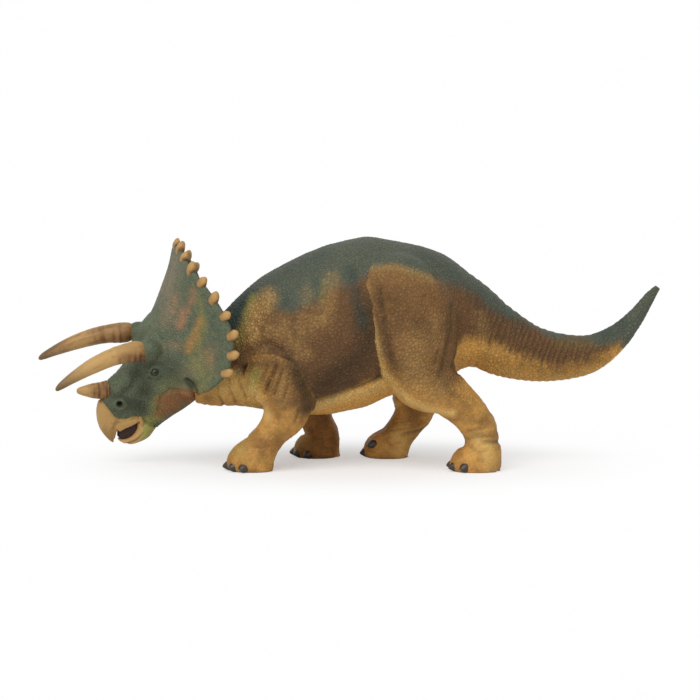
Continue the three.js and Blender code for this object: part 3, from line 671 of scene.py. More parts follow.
FORE_LEG_FOLDS = [
    (-0.6, 1.5, [(268, 366), (261, 380), (255, 397)]),
    (-0.6, 1.6, [(277, 366), (271, 380), (265, 394)]),
    (-0.55, 1.5, [(284, 369), (280, 381), (275, 394)]),
    (-0.5, 1.5, [(290, 375), (288, 388), (283, 402)]),
    (0.35, 2.2, [(272, 368), (266, 381), (260, 396)]),
    (0.35, 2.0, [(281, 368), (276, 381), (270, 394)]),
    (0.3, 2.4, [(255, 366), (252, 378), (250, 392)]),
    (-0.4, 1.6, [(297, 399), (300, 410), (295.6, 421)]),
    (-0.35, 1.4, [(240, 437), (250, 436), (262, 440)]),
    (-0.3, 1.2, [(252, 444), (262, 448), (270, 446)]),
    (0.3, 4.0, [(262, 376), (256, 388), (262, 402)]),
]
HEAD_FOLDS = [
    (0.55, 2.0, [(146.4, 361.7), (155.6, 358.6), (164.8, 361.7), (172.4, 367.8)]),
    (-0.3, 1.2, [(149.4, 377.5), (157, 380), (164.8, 377.5)]),
    (-1.0, 1.4, [(187.7, 379.3), (193, 383), (196, 389.3), (196, 393.9)]),
    (-0.5, 1.8, [(196, 395), (183, 390.8), (171, 389.3), (161.7, 397), (158.6, 410.7)]),
    (-0.45, 1.1, [(144, 420), (148.7, 429), (147, 436.7)]),
    (-0.35, 1.1, [(151, 418), (155.6, 427.5), (152.5, 435)]),
    (0.3, 5.0, [(165, 335), (172, 300), (176, 270)]),
    (-0.3, 5.0, [(178, 335), (190, 300), (197, 285)]),
    (0.3, 5.0, [(185, 345), (205, 325), (215, 310)]),
    (-0.25, 5.0, [(190, 360), (212, 350), (225, 345)]),
    (0.25, 5.0, [(190, 370), (212, 368), (228, 366)]),
    (-0.3, 1.4, [(118, 384), (124, 392), (133, 396)]),
    (-0.25, 1.4, [(138, 384), (143, 396), (140, 408)]),
    (-0.3, 1.3, [(113, 423), (122, 423), (137, 418)]),
]

# Lower edges of the paint coats, from the head to the tail, in pixels
GREEN_EDGE = [
    (225, 338), (236, 330), (243, 323), (250, 302), (262, 299), (275, 308), (290, 316), (300, 310),
    (315, 301), (330, 291), (345, 285), (365, 279), (380, 268), (395, 267), (415, 271), (440, 280),
    (465, 290), (490, 307), (515, 321), (540, 332), (565, 338), (590, 341), (606, 342), (619, 342),
    (626, 349), (640, 380),
]
THIGH_GREEN_EDGE = [(355, 272), (366, 268), (395, 266), (415, 271), (440, 281), (465, 292)]
BROWN_EDGE = [
    (225, 368), (243, 376), (262, 388), (290, 402), (306, 407), (330, 399), (345, 394), (360, 388),
    (383, 378), (410, 378), (446, 352), (455, 346), (463, 340), (475, 339), (490, 343), (515, 356),
    (540, 366), (565, 368), (590, 362), (606, 352), (619, 344), (640, 330),
]
THIGH_BROWN_EDGE = [(360, 366), (380, 370), (396, 382), (415, 390), (440, 398), (452, 392), (464, 372)]
ARM_BROWN_EDGE = [(240, 366), (250, 372), (262, 386), (275, 400), (290, 410), (305, 414)]

# Airbrush strokes: radius, softness, strength and line, in pixels. On the body the dark strokes lie partly as
# painted shade in the grooves and low on the flanks, and the pale strokes partly as painted highlight along
# the ridges.
TRUNK_STROKES = {
    "ochre": [
        (9, 7, 0.9, [(269, 298), (258, 313), (252, 336)]),
        (6, 8, 0.5, [(332, 279), (330, 298), (324, 322)]),
        (5, 7, 0.35, [(308, 292), (306, 312)]),
        (12, 12, 0.4, [(268, 330), (296, 328), (322, 318)]),
        (8, 8, 0.5, [(286, 328), (298, 346), (304, 354)]),
        (6, 8, 0.35, [(478, 318), (482, 332)]),
        (6, 8, 0.4, [(236, 345), (246, 352), (262, 350)]),
    ],
    "dark": [
        (13, 14, 0.7, [(367, 312), (368, 340), (356, 362), (326, 382)]),
        (8, 9, 0.75, [(289, 362), (300, 378), (308, 398)]),
        (5, 6, 0.35, [(208, 398), (216, 392), (222, 384)]),
        (8, 8, 0.36, [(486, 358), (510, 366), (545, 373), (575, 371), (600, 360)]),
        (6, 6, 0.6, [(308, 392), (326, 388), (352, 380)]),
        (12, 14, 0.15, [(312, 366), (340, 350)]),
        (3, 4, 0.6, [(243, 369), (256, 364), (272, 361), (288, 363)]),
        (4, 6, 0.4, [(252, 352), (268, 345), (282, 350)]),
        (4, 6, 0.3, [(457, 318), (455, 335), (450, 352)]),
        (5, 7, 0.3, [(476, 305), (474, 325)]),
    ],
    "deep": [
        (9, 8, 0.95, [(232, 322), (240, 310), (250, 296)]),
        (9, 10, 0.35, [(258, 288), (290, 266), (320, 252)]),
        (8, 10, 0.35, [(420, 252), (470, 287), (520, 322)]),
        (6, 8, 0.5, [(600, 336), (622, 322)]),
        (4, 6, 0.35, [(284, 298), (290, 312)]),
        (4, 6, 0.3, [(320, 284), (320, 300)]),
        (5, 7, 0.6, [(352, 272), (356, 300), (362, 324)]),
    ],
    "lime": [
        (3.5, 5, 0.8, [(254, 298), (247, 314), (243, 334), (237, 344)]),
        (3, 5, 0.35, [(322, 300), (324, 284)]),
        (4, 6, 0.12, [(560, 344), (590, 346)]),
    ],
    "pale": [
        (4, 5, 0.7, [(314, 407), (340, 399), (366, 391), (388, 383)]),
        (10, 9, 0.45, [(222, 388), (244, 392), (262, 400)]),
        (4, 5, 0.5, [(237, 372), (241, 386)]),
        (3, 5, 0.15, [(500, 368), (530, 378), (565, 379), (596, 368)]),
    ],
}
HIND_LEG_STROKES = {
    "ochre": [
        (12, 14, 0.45, [(414, 345), (414, 375), (436, 388)]),
        (5, 7, 0.2, [(371, 276), (400, 277), (430, 284)]),
        (5, 6, 0.4, [(434, 320), (436, 345)]),
        (4, 6, 0.35, [(464, 330), (462, 350)]),
    ],
    "dark": [
        (4, 7, 0.55, [(378, 296), (383, 322), (388, 350), (393, 368)]),
        (3.5, 6, 0.4, [(449, 306), (448, 335), (442, 362)]),
        (9, 12, 0.3, [(392, 300), (402, 318), (430, 330)]),
        (4, 7, 0.35, [(436, 372), (446, 380), (452, 392)]),
        (3, 4, 0.35, [(466, 437), (478, 434), (492, 434)]),
        (7, 9, 0.4, [(458, 396), (470, 412), (478, 424)]),
    ],
    "deep": [
        (5, 9, 0.2, [(440, 286), (452, 300)]),
    ],
    "lime": [],
    "pale": [
        (2.2, 4, 0.2, [(367, 284), (370, 310)]),
        (2.2, 3.5, 0.5, [(371, 318), (376, 340), (381, 362), (386, 377)]),
        (2.6, 4, 0.7, [(385, 376), (396, 389), (412, 402), (430, 409), (452, 414)]),
        (7, 9, 0.45, [(476, 440), (488, 448), (490, 460)]),
        (2.5, 5, 0.25, [(366, 269), (395, 268), (430, 278)]),
    ],
}
FORE_LEG_STROKES = {
    "ochre": [
        (5, 7, 0.5, [(284, 378), (281, 396)]),
    ],
    "dark": [
        (8, 9, 0.85, [(295, 370), (302, 384), (306, 398), (307, 408)]),
        (3, 5, 0.5, [(255, 366), (272, 363), (290, 366)]),
        (6, 9, 0.35, [(280, 402), (283, 424), (276, 438)]),
        (6, 9, 0.3, [(268, 440), (264, 454)]),
        (3, 6, 0.3, [(240, 440), (252, 436), (262, 440)]),
        (6, 9, 0.25, [(238, 456), (250, 454), (262, 458)]),
        (5, 7, 0.2, [(266, 378), (262, 394)]),
        (3, 5, 0.2, [(277, 372), (270, 390)]),
    ],
    "deep": [],
    "lime": [
        (5, 7, 0.8, [(257, 373), (252, 387)]),
        (4, 7, 0.3, [(230, 452), (242, 447)]),
    ],
    "pale": [
        (6, 8, 0.75, [(246, 384), (256, 398), (262, 412)]),
        (5, 6, 0.6, [(258, 400), (266, 414)]),
        (4, 8, 0.2, [(250, 430), (240, 448)]),
    ],
}
HEAD_STROKES = {
    "salmon": [
        (3, 5, 0.6, [(193.5, 292), (191.5, 302), (186, 313)]),
        (4.5, 5, 0.65, [(185, 312), (181, 325)]),
        (2.5, 4, 0.35, [(178, 296), (176, 312)]),
    ],
    "orange": [
        (3.5, 5, 0.75, [(201.5, 320), (197, 335), (189, 350)]),
        (2.5, 5, 0.2, [(172, 346), (182, 346)]),
        (4, 6, 0.35, [(206, 352), (212, 362)]),
    ],
    "mauve": [
        (7, 9, 0.6, [(173, 262), (170, 298), (168, 318)]),
        (5, 7, 0.35, [(168, 346), (180, 345)]),
        (7, 9, 0.4, [(188, 374), (200, 366)]),
        (6, 8, 0.35, [(213, 350), (210, 366)]),
    ],
    "lime": [
        (4, 4, 0.85, [(151, 420), (159, 417)]),
        (3, 5, 0.5, [(199, 300), (203, 316), (203, 332), (197, 350)]),
        (7, 8, 0.45, [(196, 362), (206, 374), (200, 388)]),
        (5, 5, 0.9, [(136, 422), (149, 426), (148, 438)]),
        (4, 6, 0.55, [(160, 398), (154, 410)]),
        (9, 10, 0.25, [(166, 388), (176, 384)]),
    ],
    "dark": [
        (11, 12, 0.45, [(152, 366), (172, 372)]),
        (9, 9, 0.8, [(120, 390), (136, 380), (144, 390)]),
        (8, 8, 0.75, [(124, 402), (142, 406)]),
        (3, 3, 0.9, [(188, 380), (194, 385), (196, 393)]),
        (3, 5, 0.5, [(162, 360), (174, 366)]),
        (4, 6, 0.4, [(128, 332), (140, 336)]),
        (4, 5, 0.8, [(106, 433), (113, 439)]),
        # Painted shade in the groove at the beak's tip
        (1.5, 2, 0.7, [(118, 421), (113, 430), (113, 437)]),
    ],
    "rust": [
        (8, 6, 0.85, [(166, 403), (180, 397), (194, 398)]),
        (6, 5, 0.8, [(162, 412), (176, 406)]),
        (4, 6, 0.5, [(200, 396), (212, 394)]),
        (4, 5, 0.5, [(136, 350), (143, 358)]),
    ],
    "mottle": [
        (5, 5, 0.85, [(116, 387), (126, 376)]),
        (4, 5, 0.4, [(128, 394), (138, 382)]),
    ],
}
# Lower edge of the hide along the beak, in pixels
BEAK_EDGE = [
    (80, 380), (94, 390), (99, 396), (102, 401), (106, 406), (111, 412), (115, 417), (119, 419.5),
    (128, 419), (137, 416), (141, 417), (144, 421), (146, 440), (148, 470),
]
# Grooves of the beak and the jaw, in pixels
BEAK_TIP_GROOVE = [(118, 419), (112, 430), (113.5, 440)]
JAW_GROOVE = [(126, 444), (136, 440), (144, 433)]
# Zones in the photograph, in pixels: from and to are across it, above and below are down it.
# Each has the place where its edge begins and the place where it ends.
TAIL_PAINT_FROM = (455, 480)
TAIL_RINGS_FROM = (448, 470)
TAIL_RINGS_TO = (560, 610)
THROAT_TO = (236, 262)
THROAT_FOLDS_BELOW = (372, 386)
THROAT_WASH_BELOW = (368, 384)
NAPE_TO = (246, 275)
NAPE_ABOVE = (330, 350)
SHANK_FOLDS_BELOW = {"hind": (385, 415), "fore": (385, 410)}
SHANK_WASH_BELOW = {"hind": (380, 420), "fore": (380, 410)}
SNOUT_TO = (150, 170)
SNOUT_BELOW = (360, 372)
BEAK_TO = (144.5, 146)
JAW_REAR_FROM = (139, 146)
JAW_REAR_LEVEL = 430


def head_turn():
    """The turn that takes the head's own frame into the figure's."""
    z, x, y = (math.radians(angle) for angle in (HEAD_YAW, HEAD_ROLL, -HEAD_PITCH))
    about_z = np.array([[math.cos(z), -math.sin(z), 0], [math.sin(z), math.cos(z), 0], [0, 0, 1]])
    about_x = np.array([[1, 0, 0], [0, math.cos(x), -math.sin(x)], [0, math.sin(x), math.cos(x)]])
    about_y = np.array([[math.cos(y), 0, math.sin(y)], [0, 1, 0], [-math.sin(y), 0, math.cos(y)]])
    return about_z @ about_x @ about_y


HEAD_TURN = head_turn()


def from_head(points):
    """Points of the head's own frame in the figure's."""
    return points @ HEAD_TURN.T + HEAD_PLACE


def skull_point(along, out, up):
    """A place on the skull from shares of its length, half width and height."""
    return np.array([(along - 1) * SKULL_LENGTH, out * SKULL_WIDTH / 2, up * SKULL_HEIGHT])


def profile_stations(rows, full_width, inset=0.0):
    """Stations from rows of place, top, bottom and half width."""
    made = []
    for along, top, bottom, width in rows:
        half = (top - bottom) * SKULL_HEIGHT / 2
        half_width = max(width * full_width / 2 - inset, LEAST_HALF_WIDTH)
        made.append([*skull_point(along, 0, (top + bottom) / 2), half, half, half_width])
    return made


def profile_form(rows, full_width, sides, steps, fullness, inset=0.0, grow=0.0):
    """A closed form of upright sections from such rows, in the head's own frame."""
    return skin(sweep(profile_stations(rows, full_width, inset), sides, steps, fullness, 0.0, grow))


def leg_stations(name):
    """Stations of a leg from its joint to its sole."""
    size = HIND_LEG if "hind" in name else FORE_LEG
    side = SIDES[name.split("_")[0]]
    return np.array([
        [size["place"] + along * size["height"], side * out * size["stance"], up * size["height"],
         depth * size["depth"] / 2, depth * size["depth"] / 2, width * size["width"] / 2]
        for along, up, out, depth, width in LEG_ROWS[name]
    ])


def spine_stations():
    """Stations from the end of the neck to the tip of the tail."""
    depth = BACK_HEIGHT - BELLY_HEIGHT
    trunk = [[along * TRUNK_LENGTH, 0, BELLY_HEIGHT + height * depth,
              reach * depth, reach * depth, width * TRUNK_WIDTH / 2]
             for along, height, reach, width in TRUNK_ROWS]
    root = BELLY_HEIGHT + TAIL_ROOT_SHARE * depth
    tail = [[TRUNK_LENGTH + along * TAIL_LENGTH, TAIL_SWAY * along**2, root - droop * TAIL_DROOP,
             reach * TAIL_ROOT_HEIGHT / 2, reach * TAIL_ROOT_HEIGHT / 2, width * TAIL_ROOT_WIDTH / 2]
            for along, droop, reach, width in TAIL_ROWS]
    return np.array(trunk + tail)


def spine_lean(t):
    """Sections of the trunk stand upright. Down the tail they lean over to follow its line."""
    seam = len(TRUNK_ROWS) / (len(TRUNK_ROWS) + len(TAIL_ROWS) - 1)
    return np.clip((t - seam) * (len(TRUNK_ROWS) + len(TAIL_ROWS) - 1) / LEAN_STATIONS, 0, 1)


def toes(name, sizes):
    """Root, outward direction and rise of each claw of a leg."""
    foot = leg_stations(name)[-2]
    side = SIDES[name.split("_")[0]]
    made = []
    for k, degrees in enumerate(CLAW_TURNS["hind" if "hind" in name else "fore"]):
        turn = math.radians(degrees)
        outward = np.array([-math.cos(turn), side * math.sin(turn), 0])
        reach = math.hypot(foot[4] * math.cos(turn), foot[5] * math.sin(turn)) - sizes.claw_root * MM
        rise = sizes.claw_rise * MM
        if name == "right_hind_leg" and k == 0:
            rise = sizes.lifted_claw_rise * MM
            reach -= LIFTED_CLAW_SET_BACK
        made.append((np.array([foot[0], foot[1], 0]) + outward * reach, outward, rise))
    return made


def body_form(sizes):
    """The neck, trunk, tail and legs as overlapping forms."""
    forms = [skin(sweep(spine_stations(), 120, 260, TRUNK_FULLNESS, spine_lean))]
    for name in LEG_ROWS:
        points, faces = skin(sweep(leg_stations(name), 72, 110, LEG_FULLNESS))
        points[:, 2] = np.maximum(points[:, 2], 0.0)
        forms.append((points, faces))
        for root, outward, rise in toes(name, sizes):
            centre = root - outward * TOE_SET_BACK
            centre[2] = rise + TOE_RISE
            toe_points, toe_faces = lump(centre, TOE_HALF_SIZES, outward)
            toe_points[:, 2] = np.maximum(toe_points[:, 2], 0.0)
            forms.append((toe_points, toe_faces))
    return joined(forms)


def near_leg_place(points, label):
    """Places of the body in the photograph, with each right leg moved to where its left one stands."""
    world = points + SHIFT
    for number, name in enumerate(BODY_NODES):
        if not name.startswith("right"):
            continue
        pair = (name, name.replace("right", "left"))
        own, twin = (spline(leg_stations(leg)[:, :3], np.linspace(0, 1, 80)) for leg in pair)
        chosen = label == number
        height = points[chosen, 2]
        world[chosen, 0] += (np.interp(height, twin[::-1, 2], twin[::-1, 0])
                             - np.interp(height, own[::-1, 2], own[::-1, 0]))
    return photo_place(world)


def named(label, word):
    """Which points belong to the nodes that have a word in their names."""
    return np.isin(label, [number for number, name in enumerate(BODY_NODES) if word in name])


def regions(label):
    """Which points belong to the trunk and tail, to the hind legs and to the fore legs."""
    hind = named(label, "hind")
    fore = named(label, "fore")
    return ~hind & ~fore, hind, fore


def shanks(v, hind, fore, zones, elsewhere):
    """How far down the legs points lie, from 0 at the thighs and arms to 1 at the shanks."""
    lower = {leg: smooth_step(*zone, v) for leg, zone in zones.items()}
    return np.where(hind, lower["hind"], np.where(fore, lower["fore"], elsewhere))


def waves(run, pitch, waver, shake):
    """Even waves from -1 to 1 along a run of pixels, with a waver of some pixels."""
    return np.cos(2 * math.pi * (run + waver * shake) / pitch)


def body_creases(place, label):
    """Height of the body's drawn folds, in millimetres."""
    height = np.zeros(len(place))
    for chosen, creases in zip(regions(label), (TRUNK_FOLDS, HIND_LEG_FOLDS, FORE_LEG_FOLDS)):
        height[chosen] += folds(place[chosen], creases)
    return height


def body_relief(points, place, label, crown, sizes):
    """Height of the body's folds and scales, in millimetres."""
    u, v = place.T
    trunk, hind, fore = regions(label)
    height = body_creases(place, label)
    shake = ripple(points, 6.0, 3)
    ringed = smooth_step(*TAIL_RINGS_FROM, u) * (1 - smooth_step(*TAIL_RINGS_TO, u))
    height += trunk * TAIL_RING_HEIGHT * ringed * waves(u, 7.5, 3.5, shake)
    throat = (1 - smooth_step(*THROAT_TO, u)) * smooth_step(*THROAT_FOLDS_BELOW, v) * trunk
    height += THROAT_FOLD_HEIGHT * throat * waves(u + 0.35 * v, 8.5, 6, shake)
    shank = shanks(v, hind, fore, SHANK_FOLDS_BELOW, 0)
    nape = trunk * (1 - smooth_step(*NAPE_TO, u)) * (1 - smooth_step(*NAPE_ABOVE, v))
    wrinkles = 0.09 * ripple(points * WRINKLE_SQUASH, 2.6, 7) + 0.05 * ripple(points, 1.1, 8)
    height += shank * wrinkles
    coarse = sizes.scale_height * MM * (1 - 0.5 * shank) * (1 - 0.5 * throat) * (1 + 0.8 * nape)
    height *= sizes.fold_depth
    height += coarse * (crown - 0.6)
    height += 0.10 * ripple(points, 9.0, 5) + 0.05 * ripple(points, 3.2, 6)
    return np.where(trunk, height, height * smooth_step(0.1, 1.8, points[:, 2]))


def body_paint(points, place, label, crown, outward):
    """Cover of each coat of paint on the body, with painted shade in its grooves and inside its legs and
    painted highlight on its ridges.
    """
    u, v = place.T
    trunk, hind, fore = regions(label)
    waver = 5 * ripple(points, 5.0, 11) + 2.5 * ripple(points, 1.7, 12)
    streak = ripple(np.stack([u / 2.2, v / 18, 0 * u], axis=-1), 1.0, 13)
    on_tail = smooth_step(*TAIL_PAINT_FROM, u)
    frayed = waver * 0.6 + 2.5 * streak * on_tail
    cover = {
        "green": np.where(trunk, above(place, GREEN_EDGE, 10 - 3 * on_tail, waver),
                          np.where(hind, above(place, THIGH_GREEN_EDGE, 6, 0.5 * waver), 0)),
        "brown": np.where(trunk, above(place, BROWN_EDGE, 6 + 5 * on_tail, frayed),
                          np.where(hind, 0.9 * above(place, THIGH_BROWN_EDGE, 18, waver),
                                   0.75 * above(place, ARM_BROWN_EDGE, 13, waver))),
    }
    for coat in TRUNK_STROKES:
        tables = (TRUNK_STROKES, HIND_LEG_STROKES, FORE_LEG_STROKES)
        on_trunk, on_hind, on_fore = (brushed(place, table[coat]) for table in tables)
        cover[coat] = np.where(trunk, on_trunk, np.where(hind, on_hind, on_fore))
    height = body_creases(place, label)
    # Painted shade in the grooves of the drawn folds, and painted highlight on their ridges
    cover["dark"] = np.maximum(cover["dark"], np.clip(-1.3 * height - 0.12, 0, 0.75))
    cover["pale"] = np.maximum(cover["pale"], np.clip(1.2 * height - 0.36, 0, 0.4))
    cover["crown"] = crown
    throat = 0.55 * (1 - smooth_step(*THROAT_TO, u)) * smooth_step(*THROAT_WASH_BELOW, v)
    cover["shank"] = shanks(v, hind, fore, SHANK_WASH_BELOW, throat)
    # Painted shade on the inner sides of the legs, fading out upwards
    inward = outward[:, 1] * np.where(named(label, "left"), 1.0, -1.0)
    strength = np.where(hind, 0.04, 0.5) * ~trunk * (1 - smooth_step(*INNER_LEG_HEIGHTS, points[:, 2]))
    cover["inner"] = strength * smooth_step(0.1, 0.85, inward)
    rows = 0.5 + 0.5 * waves(u + 0.3 * v, 5.2, 2.5, ripple(points, 5.0, 14))
    rows = 0.55 * rows**2 * on_tail * trunk * cover["brown"] * (1 - cover["green"])
    cover["dark"] = np.maximum(cover["dark"], rows)
    return cover


def softened_seams(points, edges):
    """The body's points with its joins smoothed, and the number of the node that each belongs to."""
    distance = node_distances(points, BODY_NODES, NODE_SEARCH)
    ranked = np.sort(distance, axis=1)
    joint = spread(1 - smooth_step(*JOINT_REACH, ranked[:, 1]), edges, 6)
    label = spread(distance, edges, 8).argmin(axis=1)
    return spread(points, edges, 80, 0.5 * joint), label


def narrowed_soles(points, label):
    """The body's points with each foot drawn in towards the middle of its sole, close to the ground."""
    low = np.clip(1 - points[:, 2] / SOLE_EDGE_HEIGHT, 0, 1) ** 2
    for number, name in enumerate(BODY_NODES):
        if name in LEG_ROWS:
            gap = points[:, :2] - leg_stations(name)[-2, :2]
            far = np.linalg.norm(gap, axis=1, keepdims=True)
            pull = SOLE_PULL * (low * (label == number))[:, None] * np.minimum(far / 8, 1)
            points[:, :2] -= gap / np.maximum(far, 1e-6) * pull
    points[:, 2] = np.maximum(points[:, 2], 0.0)
    return points


def blade_section(root, edge, back):
    """Section of the frill from its root, over its rim and back again."""
    shares = np.concatenate([np.linspace(0, RIM_ROUND_FROM, 22), np.array([0.955, 0.975, 0.99])])
    thick = FRILL_ROOT_THICKNESS + (FRILL_RIM_THICKNESS - FRILL_ROOT_THICKNESS) * shares
    thick = thick * np.sqrt(1 - np.clip((shares - RIM_ROUND_FROM) / RIM_ROUND_LENGTH, 0, 1) ** 2)
    middle = root + (edge - root) * shares[:, None] + back * (FRILL_DISH * np.sin(math.pi * shares))[:, None]
    front = middle - back * (thick / 2)[:, None]
    rear = (middle + back * (thick / 2)[:, None])[::-1]
    return np.vstack([front, edge[None], rear])


def frill_rim():
    """Rows of the frill's rim, from the left lobe over the peak to the right one."""
    rim = np.array(FRILL_RIM) * np.array([FRILL_SWEEP, FRILL_HALF_WIDTH, FRILL_RISE])
    return np.vstack([rim[:0:-1] * np.array([1, -1, 1]), rim])


def frill_frame(t):
    """Edge, root, outward and back directions and run of the rim, at places t along the frill."""
    rim = frill_rim()
    turn = np.radians((2 * t - 1) * FRILL_ROOT_TURN)
    edge = spline(rim, t)
    root = np.stack([
        -FRILL_ROOT_BACK * SKULL_LENGTH * (1 - np.cos(turn)),
        FRILL_ROOT_OUT * SKULL_WIDTH / 2 * np.sin(turn),
        (FRILL_ROOT_LEVEL + FRILL_ROOT_RISE * np.cos(turn)) * SKULL_HEIGHT,
    ], axis=-1)
    outward = unit(edge - root)
    run = tangent(rim, t)
    return edge, root, outward, unit(np.cross(run, outward)), run


def head_form():
    """The skull, beak and frill as overlapping forms, in the head's own frame."""
    mouth_corner = skull_point(MOUTH_CORNER[0], 0, MOUTH_CORNER[1])
    foot = skull_point(JAW_SEAM_FOOT[0], 0, JAW_SEAM_FOOT[1])
    below = mouth_corner + 2 * (foot - mouth_corner)
    front, top = -SKULL_LENGTH - CUT_LENGTH, mouth_corner[2] + LIP_WALL
    outline = [(mouth_corner[0], top), (below[0], below[2]), (front, below[2]), (front, top)]
    block = np.array([[(x, y, z) for x, z in outline] for y in (-CUT_HALF_WIDTH, CUT_HALF_WIDTH)])
    skull = profile_form(SKULL_ROWS, SKULL_WIDTH, 96, 90, SKULL_FULLNESS)
    beak = profile_form(BEAK_ROWS, BEAK_WIDTH, 64, 70, BEAK_FULLNESS)
    palate = profile_form(PALATE_ROWS, BEAK_WIDTH, 40, 30, 1.0)
    forms = [carved(skull, skin(block)), carved(beak, palate)]
    for side in SIDES.values():
        lip = []
        for along, up, width in LIP_ROWS:
            x, _, z = skull_point(along, 0, up)
            lip.append([x, side * LIP_SPREAD * width * BEAK_WIDTH / 2, z, *LIP_REACHES])
        forms.append(skin(sweep(lip, 24, 24, LIP_FULLNESS, 0.0)))
    t = np.linspace(0, 1, 240)
    edge, root, _, back, _ = frill_frame(t)
    forms.append(skin(np.array([blade_section(root[i], edge[i], back[i]) for i in range(len(t))])))
    for side in SIDES.values():
        eye = skull_point(EYE_PLACE[0], side * EYE_PLACE[1], EYE_PLACE[2])
        forms.append(lump(eye, EYELID_HALF_SIZES, (0, side, 0)))
        jugal = skull_point(JUGAL_PLACE[0], side * JUGAL_PLACE[1], JUGAL_PLACE[2])
        down = (JUGAL_WIDTH, side * JUGAL_LENGTH, -JUGAL_WIDTH)
        forms.append(lump(jugal, (JUGAL_WIDTH / 2, JUGAL_LENGTH / 2, JUGAL_WIDTH / 2), down))
        base, along, _ = horn_line(BROW_HORN, BROW_HORN_PLACE, side)
        middle = base - BOSS_SET_BACK * along
        forms.append(lump(middle, (BOSS_RADIUS, BOSS_LENGTH / 2, BOSS_RADIUS), along))
    return joined(forms)


def horn_line(horn, place, side):
    """Base, direction and bend of a horn in the head's own frame."""
    lift = math.radians(horn["raise"])
    out = math.radians(horn["turn"])
    base = skull_point(place[0], 0, place[1])
    base[1] = side * horn["spread"]
    along = unit(np.array([-math.cos(lift) * math.cos(out), side * math.sin(out), math.sin(lift)]))
    return base, along, np.array([0, 0, horn["bend"]])


def head_photo_place(points):
    """Where points of the head's frame lie in the photograph, each side drawn as its left side is."""
    folded = np.stack([points[:, 0], -np.abs(points[:, 1]), points[:, 2]], axis=-1)
    return photo_place(from_head(folded) + SHIFT)


def around(points, place):
    """Distance of points from a place on either side of the head, and from the axis through it."""
    out = np.stack([points[:, 0], np.abs(points[:, 1]), points[:, 2]], axis=-1)
    gap = out - place
    return np.linalg.norm(gap, axis=1), np.hypot(gap[:, 0], gap[:, 2])


def head_relief(points, place, crown, sizes, beak):
    """Height of the head's folds, lids, nostrils and scales, in millimetres."""
    u, v = place.T
    height = folds(place, HEAD_FOLDS) * sizes.fold_depth
    reach, ring = around(points, skull_point(*EYE_PLACE))
    near = 1 - smooth_step(4.0, 6.5, reach)
    height += near * (0.14 * bell(ring, 0.5, 1.6) - 0.16 * bell(ring, 0.6, 2.7))
    height -= near * 0.8 * bell(ring, 1.3, power=4)
    reach, ring = around(points, skull_point(*NOSTRIL_PLACE))
    near = 1 - smooth_step(3.0, 5.0, reach)
    height += near * (0.35 * bell(ring, 0.55, 1.45) - 1.4 * bell(ring, 0.75, power=4))
    height += 0.32 * beak - 0.55 * bell(line_distance(place, BEAK_EDGE), 1.3)
    height -= beak * 0.4 * bell(line_distance(place, BEAK_TIP_GROOVE), 1.2)
    snout = (1 - smooth_step(*SNOUT_TO, u)) * smooth_step(*SNOUT_BELOW, v) * (1 - beak)
    height += sizes.scale_height * MM * (1 - beak) * (0.55 + 1.9 * snout) * (crown - 0.6)
    return height + 0.05 * ripple(points, 4.0, 21) * (1 - 0.6 * beak)


def head_paint(points, place, crown, beak):
    """Cover of each coat of paint on the head, with painted shade in the nostrils and round the eyes and
    painted highlight on their rims.
    """
    waver = 2.5 * np.stack([ripple(points, 3.0, 31), ripple(points, 3.0, 32)], axis=-1)
    cover = {coat: brushed(place + waver, strokes) for coat, strokes in HEAD_STROKES.items()}
    eye_reach, eye_ring = around(points, skull_point(*EYE_PLACE))
    nostril_reach, nostril_ring = around(points, skull_point(*NOSTRIL_PLACE))
    # Painted shade in the nostril and in the socket round the eye
    cover["hollow"] = np.maximum(
        0.9 * (1 - smooth_step(0.4, 1.1, nostril_ring)) * (nostril_reach < 3.5),
        0.6 * (1 - smooth_step(0.9, 1.7, eye_ring)) * (eye_reach < 4.0))
    # Painted highlight on the raised rims of the nostril and of the eye
    rim = 0.5 * bell(nostril_ring, 0.5, 1.6) * (nostril_reach < 4)
    rim += 0.15 * bell(eye_ring, 0.6, 2.1) * (eye_reach < 5)
    cover["mottle"] = np.maximum(cover["mottle"], np.clip(rim, 0, 1))
    along = points[:, 0] / SKULL_LENGTH + 1
    up = points[:, 2] / SKULL_HEIGHT
    inside = (smooth_step(*MOUTH_FRONT, along) * (1 - smooth_step(*MOUTH_REAR, along))
              * (1 - smooth_step(*MOUTH_ROOF, up)))
    width = np.interp(along, *zip(*MOUTH_LINING)) * BEAK_WIDTH / 2 + 0.25
    cover["mouth"] = inside * (1 - smooth_step(width - 0.3, width + 0.2, np.abs(points[:, 1])))
    cover["beak"] = beak
    cover["crown"] = crown
    cover["behind"] = back_of_frill(points)
    return cover


def back_of_frill(points):
    """0 on the frill's front and elsewhere, and 1 on its back."""
    t = np.linspace(0, 1, 120)
    edge, root, _, back, _ = frill_frame(t)
    shares = np.linspace(0, 1, 12)
    middle = (root[:, None] + (edge - root)[:, None] * shares[None, :, None]
              + back[:, None] * (FRILL_DISH * np.sin(math.pi * shares))[None, :, None])
    flat = middle.reshape(-1, 3)
    backs = np.repeat(back, len(shares), axis=0)
    facing = np.zeros(len(points))
    for start in range(0, len(points), 4000):
        part = points[start:start + 4000]
        gaps = ((part[:, None] - flat[None]) ** 2).sum(axis=2)
        nearest = gaps.argmin(axis=1)
        offset = np.einsum("ij,ij->i", part - flat[nearest], backs[nearest])
        close = gaps[np.arange(len(part)), nearest] < 16
        facing[start:start + 4000] = smooth_step(0.2, 0.9, offset) * close
    return facing


# Shader sums

